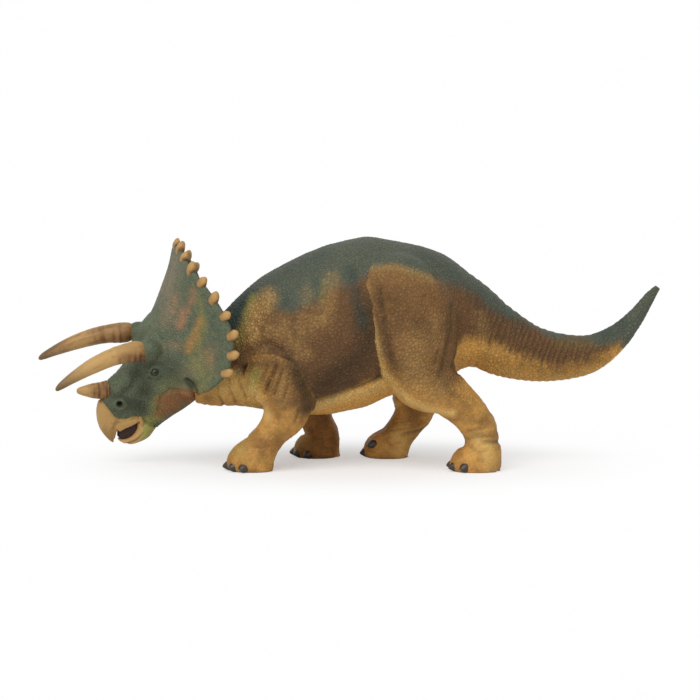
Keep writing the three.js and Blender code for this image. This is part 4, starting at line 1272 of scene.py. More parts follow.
class Field:
    """One socket of a tree of nodes. Sums on it add Math nodes."""

    def __init__(self, shading, socket):
        self.shading = shading
        self.socket = socket

    def math(self, operation, first, second=0.0, clamp=False):
        """A Math node on two numbers or fields."""
        settings = {"operation": operation, "use_clamp": clamp}
        return self.shading.node("ShaderNodeMath", settings, {0: first, 1: second})

    def __add__(self, other):
        return self.math("ADD", self, other)

    __radd__ = __add__

    def __sub__(self, other):
        return self.math("SUBTRACT", self, other)

    def __rsub__(self, other):
        return self.math("SUBTRACT", other, self)

    def __mul__(self, other):
        return self.math("MULTIPLY", self, other)

    __rmul__ = __mul__

    def clipped(self):
        """Held between 0 and 1."""
        return self.math("ADD", self, 0.0, True)

    def either(self, other):
        """The larger of this and another."""
        return self.math("MAXIMUM", self, other)

    def between(self, low, high):
        """0 where this is low, 1 where it is high, with a soft rise."""
        settings = {"interpolation_type": "SMOOTHSTEP"}
        values = {"Value": self, "From Min": low, "From Max": high}
        return self.shading.node("ShaderNodeMapRange", settings, values)


class Shading:
    """A tree of nodes of a material or of the world."""

    def __init__(self, tree):
        self.tree = tree

    def node(self, kind, settings, values, output=0):
        """A node of a kind, with its settings made first and then its sockets filled or linked."""
        made = self.tree.nodes.new(kind)
        for key, value in settings.items():
            setattr(made, key, value)
        for key, value in values.items():
            self.fill(made.inputs[key], value)
        return Field(self, made.outputs[output])

    def fill(self, socket, value):
        """Links a socket to a field, or sets its number or colour."""
        if isinstance(value, Field):
            self.tree.links.new(value.socket, socket)
        elif hasattr(value, "__len__") and len(value) == 3 and socket.type == "RGBA":
            socket.default_value = (*value, 1.0)
        else:
            socket.default_value = value

    def ray(self, kind):
        """1 for rays of a kind and 0 for all others."""
        return self.node("ShaderNodeLightPath", {}, {}, kind)


class Finish(Shading):
    """A material, built up from coats."""

    def __init__(self, name):
        self.material = bpy.data.materials.new(name)
        self.material.use_nodes = True
        super().__init__(self.material.node_tree)
        self.shader = self.tree.nodes["Principled BSDF"]

    def mask(self, name):
        """A cover kept on the points of the mesh."""
        return self.node("ShaderNodeAttribute", {"attribute_name": name}, {}, 2)

    def blend(self, factor, under, over):
        """One colour laid over another."""
        settings = {"data_type": "RGBA"}
        return self.node("ShaderNodeMix", settings, {0: factor, 6: under, 7: over}, 2)

    def shade(self, factor, colour, tint):
        """A colour multiplied by a tint."""
        settings = {"data_type": "RGBA", "blend_type": "MULTIPLY"}
        return self.node("ShaderNodeMix", settings, {0: factor, 6: colour, 7: tint}, 2)

    def place(self):
        """Places on the piece, in millimetres."""
        where = self.node("ShaderNodeTexCoord", {}, {}, 3)
        return self.node("ShaderNodeVectorMath", {"operation": "SCALE"}, {0: where, 3: MM})

    def speckle(self, place, pitch, detail=3.0, rough=0.55):
        """Cloudy noise from 0 to 1."""
        values = {"Vector": place, "Scale": 1 / pitch, "Detail": detail, "Roughness": rough}
        return self.node("ShaderNodeTexNoise", {}, values)

    def cracks(self, place, pitch):
        """Distance to the nearest crack between close-packed scales, in pitches."""
        settings = {"feature": "DISTANCE_TO_EDGE"}
        return self.node("ShaderNodeTexVoronoi", settings, {"Vector": place, "Scale": 1 / pitch})

    def finished(self, colour, roughness, height, height_mm, **constants):
        """Connects the colour, the roughness and the fine relief, and sets the plain sockets."""
        self.fill(self.shader.inputs["Base Color"], colour)
        self.fill(self.shader.inputs["Roughness"], roughness)
        values = {"Strength": 1.0, "Distance": height_mm / MM, "Height": height}
        self.fill(self.shader.inputs["Normal"], self.node("ShaderNodeBump", {}, values))
        constants.setdefault("Specular_IOR_Level", 0.2)
        for name, value in constants.items():
            self.shader.inputs[name.replace("_", " ")].default_value = value
        return self.material


def broken(cover, noise, amount):
    """A coat's cover with its edge broken up by noise."""
    return (cover + (noise - 0.5) * (4 * amount) * cover * (1 - cover)).clipped()


def linear(red, green, blue):
    """A colour as the shader takes it, from the eight-bit values of a picture."""
    parts = [value / 255 for value in (red, green, blue)]
    return [part / 12.92 if part <= 0.04045 else ((part + 0.055) / 1.055) ** 2.4 for part in parts]


def paint_of(name, description, red, green, blue):
    """A colour that a user can change."""
    return bpy.props.FloatVectorProperty(
        name=name, description=description, subtype="COLOR", size=3, min=0, max=1,
        default=linear(red, green, blue))


def length_of(name, description, default):
    """A length that a user can change, in metres."""
    return bpy.props.FloatProperty(
        name=name, description=description, default=default, min=0, unit="LENGTH", precision=5)


def number_of(name, description, default):
    """A plain number that a user can change."""
    return bpy.props.FloatProperty(name=name, description=description, default=default, min=0)


class DinosaurSizes(bpy.types.PropertyGroup):
    """Sizes of the figure's surface."""

    body_grid: length_of("Body grid", "Spacing of the points on the body's skin", 0.00038)
    head_grid: length_of("Head grid", "Spacing of the points on the head's skin", 0.00026)
    scale_pitch: length_of("Scale pitch", "Distance from one scale to the next", 0.00125)
    scale_height: length_of("Scale height", "Height of a scale over the cracks round it", 0.00014)
    fold_depth: number_of("Fold depth", "How deep the folds are cut, as a share of their drawn depth", 1.0)
    claw_length: length_of("Claw length", "Length of a claw", 0.0042)
    claw_width: length_of("Claw width", "Width of a claw", 0.0038)
    claw_height: length_of("Claw height", "Height of a claw", 0.0034)
    claw_root: length_of("Claw root", "How deep a claw sits in its toe", 0.0009)
    claw_rise: length_of("Claw rise", "Height of a claw's middle over the ground", 0.0017)
    lifted_claw_rise: length_of("Lifted claw rise", "The same for the right hind foot's inner claw", 0.0046)
    eye_radius: length_of("Eye radius", "Radius of an eye", 0.00115)
    knob_length: length_of("Knob length", "Length of a frill knob along the rim", 0.0034)
    knob_reach: length_of("Knob reach", "How far a frill knob stands out", 0.0024)
    knob_thickness: length_of("Knob thickness", "Thickness of a frill knob", 0.0025)


class DinosaurColours(bpy.types.PropertyGroup):
    """Colours of the paint."""

    undercoat: paint_of("Undercoat", "Ochre plastic that the legs and belly show", 221, 159, 73)
    # Also laid as painted highlight along the ridges of the folds
    pale: paint_of("Pale ochre", "Lightest touches on the folds", 233, 197, 122)
    brown: paint_of("Brown", "Coat on the flanks and thighs", 117, 85, 54)
    dark: paint_of("Dark brown", "Shade in the folds and low on the flanks", 62, 48, 32)
    green: paint_of("Back green", "Grey green of the back", 94, 100, 86)
    deep: paint_of("Deep green", "Darkest green of the nape and spine", 56, 70, 66)
    lime: paint_of("Yellow green", "Edge of the green coat", 150, 146, 78)
    ochre: paint_of("Ochre", "Dry brushed patches on the shoulder and flank", 192, 154, 94)
    face: paint_of("Face green", "Green of the head", 123, 134, 109)
    face_dark: paint_of("Dark face green", "Darker green of the face and snout", 61, 65, 50)
    salmon: paint_of("Salmon", "Pink patch of the frill", 181, 131, 98)
    orange: paint_of("Orange", "Orange patch of the frill", 181, 137, 78)
    mauve: paint_of("Mauve brown", "Brown clouds of the frill", 147, 129, 106)
    rust: paint_of("Rust", "Red brown of the cheek", 148, 98, 58)
    tan: paint_of("Beak tan", "Tan of the beak and the jaw", 186, 150, 95)
    horn: paint_of("Horn tan", "Tan of the horns", 210, 168, 102)
    # Also the colour of painted shade inside the legs and in the grooves of the horns, knobs, beak and jaw
    horn_base: paint_of("Horn base", "Red brown at the foot of a horn and inside the legs", 98, 54, 28)
    horn_tip: paint_of("Horn tip", "Grey brown of a horn's tip", 92, 72, 50)
    mouth: paint_of("Mouth", "Dark red of the mouth", 56, 32, 25)
    umber: paint_of("Umber", "Mottled brown wash on the legs", 126, 84, 48)
    claw: paint_of("Claw", "Near black of the claws", 44, 40, 36)
    eye: paint_of("Iris", "Olive of the eyes", 64, 67, 38)
    pupil: paint_of("Pupil", "Black of the pupils", 14, 14, 12)


# Tints that a coat is multiplied by. The scale edge and crack tints darken the hide between its scales as
# painted shade.
LIT_PATCH = (1.35, 1.3, 1.2)
SCALE_EDGE_SHADE = (0.45, 0.42, 0.36)
CRACK_SHADE = (0.4, 0.36, 0.3)
FACE_SCALE_EDGE_SHADE = (0.5, 0.47, 0.4)
FACE_CRACK_SHADE = (0.42, 0.39, 0.32)
DIRT = (0.72, 0.62, 0.5)


def body_finish(colours):
    """Airbrushed hide of the body, with painted shade and highlight in its folds, and painted shade inside
    its legs and between its scales.
    """
    finish = Finish("airbrushed hide")
    place = finish.place()
    cloud = finish.speckle(place, 2.6, 5.0, 0.65)
    scales = finish.cracks(place, 1.1)
    fine = finish.speckle(place, 0.45, 2.0)
    crown = finish.mask("crown")
    colour = finish.blend((cloud * 0.5).clipped(), colours.undercoat, colours.pale)
    blotch = finish.speckle(place, 6.0, 4.0, 0.6)
    shank = finish.mask("shank")
    colour = finish.blend(shank * (cloud.between(0.3, 0.7) * 0.24 + 0.18), colour, colours.brown)
    colour = finish.blend(shank * blotch.between(0.4, 0.62) * 0.5, colour, colours.umber)
    # Painted shade inside the legs, laid in the red brown of the horns' feet
    colour = finish.blend(finish.mask("inner"), colour, colours.horn_base)
    for name, amount in (("brown", 0.9), ("dark", 0.7), ("green", 0.9), ("deep", 0.8), ("lime", 0.7)):
        colour = finish.blend(broken(finish.mask(name), cloud, amount), colour, getattr(colours, name))
    dry = finish.mask("ochre") * (0.5 + crown * 0.45)
    colour = finish.blend(broken(dry, cloud, 0.9), colour, colours.ochre)
    colour = finish.blend(broken(finish.mask("pale"), cloud, 0.6), colour, colours.pale)
    # Painted shade: darker off the crowns of the scales and in the cracks between them, less so on the shanks
    plain = 1 - shank * 0.6
    deep = (1 - scales.between(0.03, 0.24)) * plain
    patch = finish.speckle(place, 1.7, 2.0)
    colour = finish.shade(patch.between(0.4, 0.65) * plain * 0.26, colour, LIT_PATCH)
    colour = finish.shade((1 - crown) * plain * 0.42, colour, SCALE_EDGE_SHADE)
    colour = finish.shade(deep * 0.42, colour, CRACK_SHADE)
    relief = fine * 0.25 + scales.between(0.0, 0.45) * plain
    return finish.finished(colour, 0.5 + cloud * 0.14, relief, 0.26, IOR=1.46)


def head_finish(colours):
    """Airbrushed hide of the head, with the beak in the same moulding and painted shade between its scales.
    """
    finish = Finish("airbrushed face")
    place = finish.place()
    cloud = finish.speckle(place, 1.9, 5.0, 0.65)
    scales = finish.cracks(place, 0.9)
    fine = finish.speckle(place, 0.4, 2.0)
    crown = finish.mask("crown")
    colour = finish.blend((cloud * 0.9 + 0.1).clipped(), colours.face_dark, colours.face)
    colour = finish.blend(finish.mask("behind") * 0.6, colour, colours.face_dark)
    coats = {
        "mauve": colours.mauve, "lime": colours.lime, "salmon": colours.salmon, "orange": colours.orange,
        "dark": colours.face_dark, "mottle": colours.face, "rust": colours.rust,
    }
    for name, paint in coats.items():
        colour = finish.blend(broken(finish.mask(name), cloud, 0.8), colour, paint)
    beak = finish.mask("beak")
    # Painted shade: darker off the crowns of the scales and in the cracks between them
    deep = 1 - scales.between(0.03, 0.24)
    patch = finish.speckle(place, 1.5, 2.0)
    colour = finish.shade(patch.between(0.4, 0.65) * 0.18, colour, LIT_PATCH)
    colour = finish.shade((1 - crown) * 0.32, colour, FACE_SCALE_EDGE_SHADE)
    colour = finish.shade(deep * 0.28, colour, FACE_CRACK_SHADE)
    tan = finish.blend(cloud, colours.tan, colours.horn)
    # The beak's tan is darkened at random and where the dark coat lies; along the beak's groove that is
    # painted shade
    tan = finish.shade(fine * 0.35 + finish.mask("dark") * 0.4, tan, colours.horn_base)
    colour = finish.blend(beak, colour, tan)
    colour = finish.blend(finish.mask("hollow"), colour, colours.pupil)
    colour = finish.blend(finish.mask("mouth"), colour, colours.mouth)
    relief = (fine * 0.25 + scales.between(0.0, 0.45)) * (1 - beak * 0.9)
    return finish.finished(colour, 0.5 - beak * 0.08 + cloud * 0.12, relief, 0.2, IOR=1.46)


def horn_finish(colours, name, streak, dirt=0.0):
    """Tan horn with a red brown foot, a worn tip, streaks of painted shade along its grooves and dirt rubbed
    in.
    """
    finish = Finish(name)
    place = finish.place()
    cloud = finish.speckle(place, 1.6, 5.0, 0.65)
    along = finish.mask("along")
    wave = along + (cloud - 0.5) * 0.2
    colour = finish.blend((cloud * 1.3 - 0.2).clipped(), colours.tan, colours.horn)
    colour = finish.blend(broken(finish.mask("red"), cloud, 0.8), colour, colours.horn_base)
    colour = finish.blend(wave.between(0.5, 0.98) * 0.85, colour, colours.horn_tip)
    colour = finish.shade(cloud * dirt, colour, DIRT)
    lines = finish.mask("line") + (finish.speckle(place, 0.6) - 0.5) * 0.4
    # The lines are painted shade: in the grooves of a horn, and on the sides and round the foot of a knob
    colour = finish.shade(lines.between(0.3, 1.0) * streak, colour, colours.horn_base)
    relief = lines * 0.4 + cloud * 0.3
    return finish.finished(colour, 0.42 + cloud * 0.14, relief, 0.08, IOR=1.48, Specular_IOR_Level=0.3)


def jaw_finish(colours):
    """Tan beak with a dark mouth in it and painted shade along its groove."""
    finish = Finish("lower jaw")
    place = finish.place()
    cloud = finish.speckle(place, 1.6, 5.0, 0.65)
    colour = finish.blend(cloud, colours.tan, colours.horn)
    # Painted shade along the jaw's groove
    colour = finish.shade(finish.mask("crease") * 0.7, colour, colours.horn_base)
    colour = finish.blend(broken(finish.mask("rear"), cloud, 0.6), colour, colours.lime)
    colour = finish.blend(finish.mask("mouth"), colour, colours.mouth)
    return finish.finished(colour, 0.42 + cloud * 0.14, cloud, 0.08, IOR=1.48, Specular_IOR_Level=0.3)


def claw_finish(colours):
    """Near black gloss with worn edges."""
    finish = Finish("claw gloss")
    place = finish.place()
    cloud = finish.speckle(place, 0.9, 4.0)
    colour = finish.blend((cloud * 0.7 * finish.mask("tip")).clipped(), colours.claw, colours.horn_tip)
    return finish.finished(colour, 0.34 + cloud * 0.16, cloud, 0.06, IOR=1.5, Specular_IOR_Level=0.5)


def eye_finish(colours):
    """Wet looking eye with an olive iris and a black pupil."""
    finish = Finish("eye gloss")
    place = finish.place()
    cloud = finish.speckle(place, 0.3, 3.0)
    colour = finish.blend(cloud * 0.15, colours.eye, colours.lime)
    colour = finish.blend(finish.mask("rim"), colour, colours.pupil)
    colour = finish.blend(finish.mask("pupil"), colour, colours.pupil)
    return finish.finished(colour, 0.3 + cloud * 0.04, cloud, 0.005, IOR=1.5, Specular_IOR_Level=0.5)


def grid_step(length):
    return length * MM * 1.0


class DINOSAUR_OT_body(bpy.types.Operator):
    """Fuses the neck, trunk, tail and legs, carves and paints them, and parts them at the mouldings' seams"""

    bl_idname = "dinosaur.body"
    bl_label = "Body"

    def execute(self, context):
        sizes = context.scene.dinosaur_sizes
        points, quads, edges = even_skin(body_form(sizes), grid_step(sizes.body_grid), 4)
        points, label = softened_seams(points, edges)
        outward = normals_of(points, quads)
        crown = pebbles(points, sizes.scale_pitch * MM, 40)
        place = near_leg_place(points, label)
        points = points + outward * body_relief(points, place, label, crown, sizes)[:, None]
        points = narrowed_soles(points, label)
        cover = body_paint(points, place, label, crown, outward)
        outward = normals_of(points, quads)
        material = body_finish(context.scene.dinosaur_colours)
        slots = {"torso": "trunk_hide", "tail": "tail_hide"}
        face_label = label[quads].min(axis=1)
        for number, name in enumerate(BODY_NODES):
            used, part, faces = closed_part(points, quads, face_label == number)
            caps = len(part) - len(used)
            masks = {key: np.concatenate([values[used], np.zeros(caps)]) for key, values in cover.items()}
            normals = np.vstack([outward[used], np.tile([[0.0, 0.0, 1.0]], (caps, 1))])
            slot = slots.get(name, "leg_hide")
            new_object(name + "_hide", part, faces, material, slot, [name], masks, normals)
        return {"FINISHED"}


class DINOSAUR_OT_head(bpy.types.Operator):
    """Fuses the skull, beak and frill, and carves and paints them"""

    bl_idname = "dinosaur.head"
    bl_label = "Head"

    def execute(self, context):
        sizes = context.scene.dinosaur_sizes
        points, quads, edges = even_skin(head_form(), grid_step(sizes.head_grid), 4)
        boss = skull_point(BROW_HORN_PLACE[0], 0, BROW_HORN_PLACE[1])
        boss += np.array([BOSS_JOIN_BACK, BROW_HORN["spread"], -BOSS_JOIN_DOWN])
        near_boss = 1 - smooth_step(*BOSS_REACH, around(points, boss)[0])
        points = spread(points, edges, 40, 0.5 * near_boss)
        outward = normals_of(points, quads)
        crown = pebbles(points, sizes.scale_pitch * MM * FACE_SCALE_SHARE, 60)
        place = head_photo_place(points)
        drop = place[:, 1] - np.interp(place[:, 0], *zip(*BEAK_EDGE))
        beak = smooth_step(-0.6, 0.6, drop) * (1 - smooth_step(*BEAK_TO, place[:, 0]))
        points = points + outward * head_relief(points, place, crown, sizes, beak)[:, None]
        cover = head_paint(points, place, crown, beak)
        material = head_finish(context.scene.dinosaur_colours)
        new_object("head_hide", from_head(points), quads.tolist(), material, "head_hide", ["head"], cover)
        return {"FINISHED"}


def knob(number, t, sizes):
    """Form of one knob at place t along the frill's rim, its shares from foot to tip and its painted shade.
    """
    edge, _, outward, _, rim_run = (part[0] for part in frill_frame(np.array([t])))
    back = unit(np.cross(outward, rim_run))
    side = unit(np.cross(back, outward))
    ball, faces = lump(np.zeros(3), (1.0, 1.0, 1.0), (0, 1, 0), KNOB_TAPER, 20)
    vary = lottery(np.array([[number + 50, 3, 7]]), 9)[0] - 0.5
    half = np.array([sizes.knob_thickness / 2, sizes.knob_reach, sizes.knob_length / 2]) * MM
    half = half * (0.95 + 0.22 * vary)
    shape = np.sign(ball) * np.abs(ball) ** KNOB_FULLNESS * half
    shape[:, 2] += 0.6 * vary * shape[:, 1]
    shape += 0.1 * ripple(shape + 9.0 * number, 0.9, 15)[:, None] * ball
    points = from_head(edge + shape @ np.stack([back, outward, side]))
    along = 0.32 + 0.3 * np.clip(ball[:, 1], 0, 1) + 0.1 * vary
    # Painted shade on the knob's sides and round its foot, laid in dark lines and in red brown
    line = 0.75 * np.abs(ball[:, 2]) ** 2 + 0.4 * (1 - smooth_step(-0.1, 0.55, ball[:, 1]))
    return (points, faces), along, line


class DINOSAUR_OT_knobs(bpy.types.Operator):
    """Sets the blunt bony knobs along the rim of the frill"""

    bl_idname = "dinosaur.knobs"
    bl_label = "Frill knobs"

    def execute(self, context):
        sizes = context.scene.dinosaur_sizes
        rim = frill_rim()
        even = np.linspace(0, 1, 2001)
        run = np.concatenate([[0], np.cumsum(np.linalg.norm(np.diff(spline(rim, even), axis=0), axis=1))])
        knobs = []
        for number in range(-KNOBS_PER_SIDE, KNOBS_PER_SIDE + 1):
            share = (1 + KNOB_SPAN * number / KNOBS_PER_SIDE) / 2
            knobs.append(knob(number, np.interp(share * run[-1], run, even), sizes))
        forms, along, line = zip(*knobs)
        points, faces = joined(forms)
        line = np.concatenate(line)
        masks = {"along": np.concatenate(along), "line": line, "red": np.clip(0.55 * line, 0, 1)}
        material = horn_finish(context.scene.dinosaur_colours, "frill knobs", 0.5, 0.75)
        new_object("frill_knobs", points, faces, material, "horn", ["head"], masks)
        return {"FINISHED"}


def horn_moulding(number, horn, place, side, red_reach, red_top, wash):
    """Points, faces and masks of a horn with growth rings and flutes, in the head's own frame."""
    base, along, bend = horn_line(horn, place, side)
    stations = [
        [*(base + along * run * horn["length"] + bend * turn), *([radius * horn["radius"]] * 3)]
        for run, turn, radius in HORN_ROWS
    ]
    rows, tip_wear = (170, 1.0) if horn is BROW_HORN else (80, 0.65)
    rings = sweep(stations, HORN_SIDES, rows)
    middle = rings.mean(axis=1, keepdims=True)
    runs = [run for run, _, _ in HORN_ROWS]
    share = np.interp(np.linspace(0, 1, rows + 1), np.linspace(0, 1, len(runs)), runs)
    share = np.clip(share, 0, 1)[:, None] + np.zeros((1, HORN_SIDES))
    angle = np.linspace(0, 2 * math.pi, HORN_SIDES + 1)[None, :HORN_SIDES] + np.zeros((rows + 1, 1))
    grid = np.stack([share.ravel() * 30, np.cos(angle.ravel()), np.sin(angle.ravel())], axis=-1)
    growth = ripple(grid * np.array([1.0, 0.4, 0.4]), 0.9, 70 + number).reshape(share.shape)
    flutes = ripple(grid * np.array([0.2, 2.6, 2.6]), 1.0, 80 + number).reshape(share.shape)
    foot = 1 - smooth_step(0.15, 0.45, share)
    deep = 0.03 * growth * (0.25 + foot) + 0.02 * flutes
    rings = middle + (rings - middle) * (1 + deep * (1 - smooth_step(0.85, 0.98, share)))[..., None]
    underside = smooth_step(-0.7, 0.4, np.sin(angle))
    red = 1 - smooth_step(0.6 * red_reach, 1.35 * red_reach, share)
    red = red * (red_top + (1 - red_top) * underside) * (0.8 + 0.5 * growth)
    red = np.clip(np.maximum(red, wash * (0.6 + 0.8 * flutes)), 0, 1)
    # Painted shade in the grooves of the growth rings and flutes
    groove_shade = np.clip(0.4 - 0.6 * growth * foot - 0.6 * flutes, 0, 1)
    masks = {
        "along": np.append(share.ravel(), [0.0, 1.0]) * tip_wear,
        "line": np.append(groove_shade.ravel(), [0.0, 0.0]),
        "red": np.append(red.ravel(), [0.0, 0.0]),
    }
    return *skin(rings), masks


class DINOSAUR_OT_horns(bpy.types.Operator):
    """Grows the two long brow horns and the short nose horn"""

    bl_idname = "dinosaur.horns"
    bl_label = "Horns"

    def execute(self, context):
        material = horn_finish(context.scene.dinosaur_colours, "horn", 0.3)
        for number, (name, choices) in enumerate(HORNS.items()):
            points, faces, masks = horn_moulding(number, *choices)
            new_object(name + "_moulding", from_head(points), faces, material, "horn", [name], masks)
        return {"FINISHED"}


class DINOSAUR_OT_jaw(bpy.types.Operator):
    """Carves the open lower jaw and lays the tongue in it"""

    bl_idname = "dinosaur.jaw"
    bl_label = "Lower jaw"

    def execute(self, context):
        outer = profile_form(JAW_ROWS, JAW_WIDTH, 64, 60, BEAK_FULLNESS)
        hollow = profile_form(JAW_HOLLOW_ROWS, JAW_WIDTH, 48, 40, JAW_HOLLOW_FULLNESS, inset=JAW_WALL)
        beak = profile_form(BEAK_ROWS, BEAK_WIDTH, 48, 50, BEAK_FULLNESS, grow=BEAK_CLEARANCE)
        points, quads, _ = even_skin(carved(carved(outer, hollow), beak), grid_step(JAW_GRID), 3)
        tree = BVHTree.FromPolygons(hollow[0].tolist(), hollow[1])
        near = np.array([tree.find_nearest(p)[3] for p in points])
        place = head_photo_place(points)
        crease = bell(line_distance(place, JAW_GROOVE), 1.2)
        points = points - normals_of(points, quads) * (0.25 * crease)[:, None]
        rear = smooth_step(*JAW_REAR_FROM, place[:, 0] + 0.25 * (place[:, 1] - JAW_REAR_LEVEL))
        masks = {"mouth": 1 - smooth_step(0.2, 0.5, near), "crease": crease, "rear": rear}
        material = jaw_finish(context.scene.dinosaur_colours)
        points = from_head(points)
        new_object("lower_jaw_beak", points, quads.tolist(), material, "beak_horn", ["lower_jaw"], masks)
        tongue, faces = profile_form(TONGUE_ROWS, TONGUE_WIDTH, 32, 40, TONGUE_FULLNESS)
        tongue[:, 2] -= 0.25 * bell(tongue[:, 1], 0.5) * (tongue[:, 2] > tongue[:, 2].mean())
        bare = np.zeros(len(tongue))
        masks = {"mouth": bare + 1, "crease": bare, "rear": bare}
        new_object("tongue", from_head(tongue), faces, material, "beak_horn", ["lower_jaw"], masks)
        return {"FINISHED"}


class DINOSAUR_OT_eyes(bpy.types.Operator):
    """Sets the two glossy eyes"""

    bl_idname = "dinosaur.eyes"
    bl_label = "Eyes"

    def execute(self, context):
        material = eye_finish(context.scene.dinosaur_colours)
        radius = context.scene.dinosaur_sizes.eye_radius * MM
        for name, side in SIDES.items():
            centre = skull_point(EYE_PLACE[0], side * (EYE_PLACE[1] - EYE_SET_IN), EYE_PLACE[2])
            points, faces = lump(centre, (radius, radius, radius), (0, side, 0), 0.0, 36)
            away = np.hypot(points[:, 0] - centre[0], points[:, 2] - centre[2])
            outer = (points[:, 1] - centre[1]) * side > 0
            masks = {
                "pupil": (1 - smooth_step(*PUPIL_EDGE, away)) * outer,
                "rim": smooth_step(*IRIS_EDGE, away) * outer + (1 - outer),
            }
            new_object(name + "_eye", from_head(points), faces, material, "head_hide", ["head"], masks)
        return {"FINISHED"}


class DINOSAUR_OT_claws(bpy.types.Operator):
    """Sets the dark claws round the front of each foot"""

    bl_idname = "dinosaur.claws"
    bl_label = "Claws"

    def execute(self, context):
        material = claw_finish(context.scene.dinosaur_colours)
        sizes = context.scene.dinosaur_sizes
        half = np.array([sizes.claw_width, sizes.claw_length, sizes.claw_height]) * MM / 2
        for name in LEG_ROWS:
            forms, tips = [], []
            for root, outward, rise in toes(name, sizes):
                centre = root + np.array([0, 0, rise])
                points, faces = lump(centre, half, outward, CLAW_TAPER, 22)
                tip = np.clip((points - centre) @ outward / half[1], 0, 1)
                points[:, 2] -= CLAW_DROOP * tip**2
                points[:, 2] = np.maximum(points[:, 2], 0.0)
                forms.append((points, faces))
                tips.append(tip)
            masks = {"tip": np.concatenate(tips)}
            new_object(name + "_claws", *joined(forms), material, "leg_hide", [name], masks)
        return {"FINISHED"}


class DinosaurStage(bpy.types.PropertyGroup):
    """Camera and light."""

    camera_distance: length_of("Camera distance", "From the camera to the figure", 2.2)
    frame_width: length_of("Frame width", "Width of the picture at the figure", 0.2213)
    aim: bpy.props.FloatVectorProperty(
        name="Aim", description="Point that the camera looks at", subtype="TRANSLATION", size=3,
        default=(0.00041, 0.00146, 0.0362), unit="LENGTH", precision=5)
    rise: bpy.props.FloatProperty(
        name="Camera rise", description="Angle of the camera over the horizon", subtype="ANGLE",
        default=math.radians(CAMERA_RISE))
    sun: number_of("Key light", "Strength of the soft sun", 1.85)
    sky: number_of("Sky light", "Strength of the light from all round", 0.45)


def set_camera(context, stage):
    """Looks at the figure's left side from a little over the horizon."""
    lens = bpy.data.cameras.new("camera")
    lens.sensor_width = SENSOR_WIDTH
    lens.lens = SENSOR_WIDTH * stage.camera_distance / stage.frame_width
    lens.clip_start = 0.05
    lens.clip_end = 60
    camera = bpy.data.objects.new("camera", lens)
    back = np.array([0, -math.cos(stage.rise), math.sin(stage.rise)])
    camera.location = np.array(stage.aim) + stage.camera_distance * back
    camera.rotation_euler = (math.radians(90) - stage.rise, 0, 0)
    context.collection.objects.link(camera)
    context.scene.camera = camera


def set_white_room(context, stage):
    """Light from all round, which the camera and mirrored rays see as plain white."""
    world = bpy.data.worlds.new("white room")
    context.scene.world = world
    world.use_nodes = True
    room = Shading(world.node_tree)
    room.tree.nodes.remove(room.tree.nodes["Background"])
    seen = room.ray("Is Camera Ray").either(room.ray("Is Glossy Ray").either(room.ray("Is Transmission Ray")))
    dim = room.node("ShaderNodeBackground", {}, {"Color": (1, 1, 1), "Strength": stage.sky})
    white = room.node("ShaderNodeBackground", {}, {"Color": (1, 1, 1), "Strength": 1.0})
    mix = room.node("ShaderNodeMixShader", {}, {0: seen, 1: dim, 2: white})
    room.fill(room.tree.nodes["World Output"].inputs["Surface"], mix)


def set_sun(context, stage):
    """A wide soft sun from over the camera's left shoulder."""
    lamp = bpy.data.lights.new("soft sun", "SUN")
    lamp.energy = stage.sun
    lamp.angle = math.radians(SUN_WIDTH)
    sun = bpy.data.objects.new("soft sun", lamp)
    sun.rotation_euler = [math.radians(angle) for angle in SUN_TURN]
    context.collection.objects.link(sun)


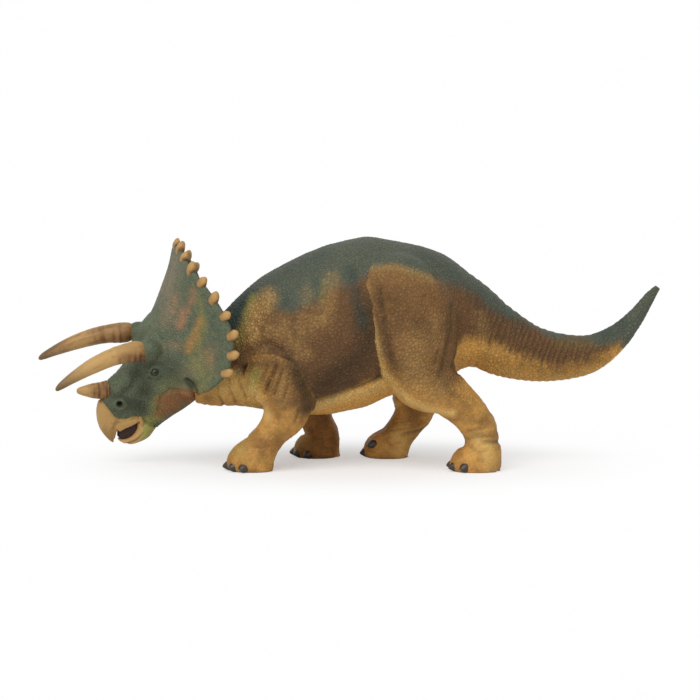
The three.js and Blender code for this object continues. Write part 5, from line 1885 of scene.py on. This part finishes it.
def lay_floor(context):
    """A white floor that takes the figure's soft shadow and fades out into the room."""
    far = FLOOR_REACH
    mesh = bpy.data.meshes.new("floor")
    mesh.from_pydata([(-far, -far, 0), (far, -far, 0), (far, far, 0), (-far, far, 0)], [], [(0, 1, 2, 3)])
    floor = bpy.data.objects.new("floor", mesh)
    context.collection.objects.link(floor)
    finish = Finish("white floor")
    finish.tree.nodes.remove(finish.shader)
    cloth = finish.node("ShaderNodeBsdfDiffuse", {}, {"Color": (0.98, 0.98, 0.98)})
    glow = finish.node("ShaderNodeEmission", {}, {})
    flat = finish.node("ShaderNodeVectorMath", {"operation": "MULTIPLY"}, {0: finish.place(), 1: (1, 1.5, 0)})
    away = finish.node("ShaderNodeVectorMath", {"operation": "LENGTH"}, {0: flat}, 1)
    factor = finish.ray("Is Camera Ray") * (0.42 + away.between(*FLOOR_FADE) * 0.55)
    mix = finish.node("ShaderNodeMixShader", {}, {0: factor, 1: cloth, 2: glow})
    finish.fill(finish.tree.nodes["Material Output"].inputs["Surface"], mix)
    floor.data.materials.append(finish.material)


class DINOSAUR_OT_stage(bpy.types.Operator):
    """Lays the white floor and sets the camera and the soft light"""

    bl_idname = "dinosaur.stage"
    bl_label = "Stage"

    def execute(self, context):
        stage = context.scene.dinosaur_stage
        context.scene.view_settings.view_transform = "Standard"
        set_camera(context, stage)
        set_white_room(context, stage)
        set_sun(context, stage)
        lay_floor(context)
        return {"FINISHED"}


OPERATORS = (
    DINOSAUR_OT_body, DINOSAUR_OT_head, DINOSAUR_OT_knobs, DINOSAUR_OT_horns, DINOSAUR_OT_jaw,
    DINOSAUR_OT_eyes, DINOSAUR_OT_claws, DINOSAUR_OT_stage,
)


class DINOSAUR_PT_figure(bpy.types.Panel):
    """Buttons for the figure's pieces, and its sizes and colours"""

    bl_idname = "DINOSAUR_PT_figure"
    bl_label = "Toy Horned Dinosaur"
    bl_space_type = "VIEW_3D"
    bl_region_type = "UI"
    bl_category = "Dinosaur"

    def draw(self, context):
        layout = self.layout
        for operator in OPERATORS:
            layout.operator(operator.bl_idname)
        for group in (getattr(context.scene, name) for name in GROUPS):
            box = layout.box()
            for key in group.bl_rna.properties.keys():
                if key not in {"rna_type", "name"}:
                    box.prop(group, key)


GROUPS = {
    "dinosaur_sizes": DinosaurSizes, "dinosaur_colours": DinosaurColours, "dinosaur_stage": DinosaurStage,
}


def register():
    """Makes the settings, the operators and the panel known to Blender."""
    for made in (*GROUPS.values(), *OPERATORS, DINOSAUR_PT_figure):
        bpy.utils.register_class(made)
    for name, group in GROUPS.items():
        setattr(bpy.types.Scene, name, bpy.props.PointerProperty(type=group))


def unregister():
    """Takes them away again."""
    for name in GROUPS:
        delattr(bpy.types.Scene, name)
    for made in reversed((*GROUPS.values(), *OPERATORS, DINOSAUR_PT_figure)):
        bpy.utils.unregister_class(made)


def main():
    """Makes every piece in order."""
    register()
    for operator in OPERATORS:
        family, name = operator.bl_idname.split(".")
        getattr(getattr(bpy.ops, family), name)()


if __name__ == "__main__":
    main()
